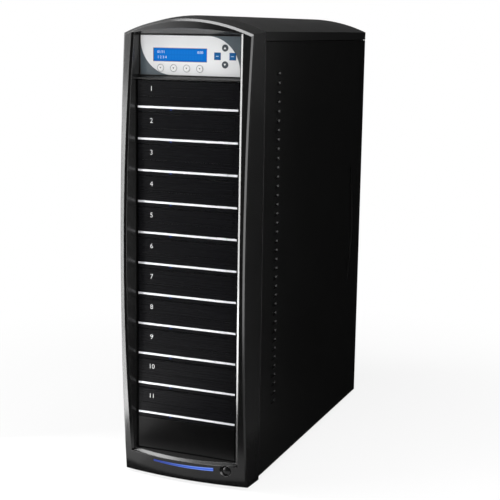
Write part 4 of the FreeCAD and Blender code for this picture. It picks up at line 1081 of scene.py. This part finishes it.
def photo_camera():
    """Camera found by fitting the case's edges in the photograph."""
    place = (0.659613, -1.623699, 0.618234)
    azimuth = 0.38694
    elevation = 0.18727
    roll = 0.01466
    flat = math.cos(elevation)
    back = Vector((math.sin(azimuth) * flat, -math.cos(azimuth) * flat, math.sin(elevation)))
    level = back.cross(Vector((0, 0, 1))).normalized() * -1
    up = back.cross(level)
    across = level * math.cos(roll) + up * math.sin(roll)
    upright = up * math.cos(roll) - level * math.sin(roll)
    turn = Matrix((across, upright, back)).transposed()
    camera = bpy.data.cameras.new("photo_camera")
    camera.sensor_width = 36.0
    camera.lens = 84.43
    rig = bpy.data.objects.new("photo_camera", camera)
    rig.matrix_world = Matrix.Translation(place) @ turn.to_4x4()
    link(rig)
    bpy.context.scene.camera = rig


white_surroundings(level=0.18)
pale_floor()

# Seen in the right side and in the bezel's flank
black_card("right_card", (0.200, 0.04, 0.001), (0.201, 1.2, 1.6), tone=0.025)
black_card("right_near_card", (0.200, -0.15, 0.001), (0.201, 0.04, 1.6), tone=0.30)
black_card("right_floor_card", (0.096, -0.2, 0.001), (0.200, 1.2, 0.002), tone=0.02)
# Seen in the top cover
black_card("back_card", (0.1, 1.0, 0.0), (1.5, 1.001, 2.4))
black_card("grey_back_card", (-1.5, 1.0, 0.0), (0.1, 1.001, 2.4), tone=0.10)
# Seen in the drives, the blank bay's cover and the chin
black_card("front_low_card", (-0.36, -0.751, 0.0), (0.6, -0.75, 0.52))
black_card("front_high_card", (-0.17, -0.751, 0.52), (0.6, -0.75, 1.3))
black_card("front_floor_card", (-0.14, -0.75, 0.001), (0.6, -0.33, 0.002))
black_card("chin_floor_card", (-0.085, -0.33, 0.001), (0.6, -0.252, 0.002), tone=0.40)
black_card("under_chin_card", (-0.2, -0.252, 0.001), (0.6, -0.15, 0.002))
# Seen in the left pillar, which mirrors the floor along a slanting line
bright_card("pillar_card", (-0.76, -0.751, 0.0), (-0.57, -0.75, 0.58), glow=15.0)
stride = 0.13
for step in range(3):
    x = -0.62 + stride * step
    y = -0.74 + stride * step
    bright_card(f"pillar_floor_card_{step + 1}", (x, y, 0.001), (x + 0.14, y + 0.15, 0.002), glow=13.0)

soft_box(
    "left_strip",
    place=(-0.45, -0.3, 0.5),
    target=(0.15, -1.1, 0.47),
    width=0.24,
    height=1.0,
    power=12.5,
)
soft_box(
    "left_foot_box",
    place=(-0.335, -0.288, 0.072),
    target=(0.0, -0.27, 0.57),
    width=0.1,
    height=0.25,
    power=1.0,
)
soft_box(
    "arch_box",
    place=(-0.14, -0.42, 2.1),
    target=(-0.14, -0.25, 0.6),
    width=1.5,
    height=0.4,
    power=23,
)
soft_box(
    "sill_box",
    place=(-1.35, -1.05, 2.1),
    target=(-0.05, -0.24, 0.05),
    width=0.9,
    height=0.4,
    power=16,
)
soft_box(
    "brow_box",
    place=(-1.0, -1.29, 0.85),
    target=(-0.05, -0.24, 0.62),
    width=0.6,
    height=0.5,
    power=1.2,
)
soft_box(
    "right_strip",
    place=(0.8, -0.41, 0.35),
    target=(0.1, -0.2, 0.35),
    width=0.62,
    height=0.9,
    power=6.4,
)
soft_box(
    "front_box",
    place=(0.1, -2.2, 1.6),
    target=(0, -0.2, 0.35),
    width=1.0,
    height=0.8,
    power=7,
)
photo_camera()

scene = bpy.context.scene
scene.view_settings.view_transform = "Standard"
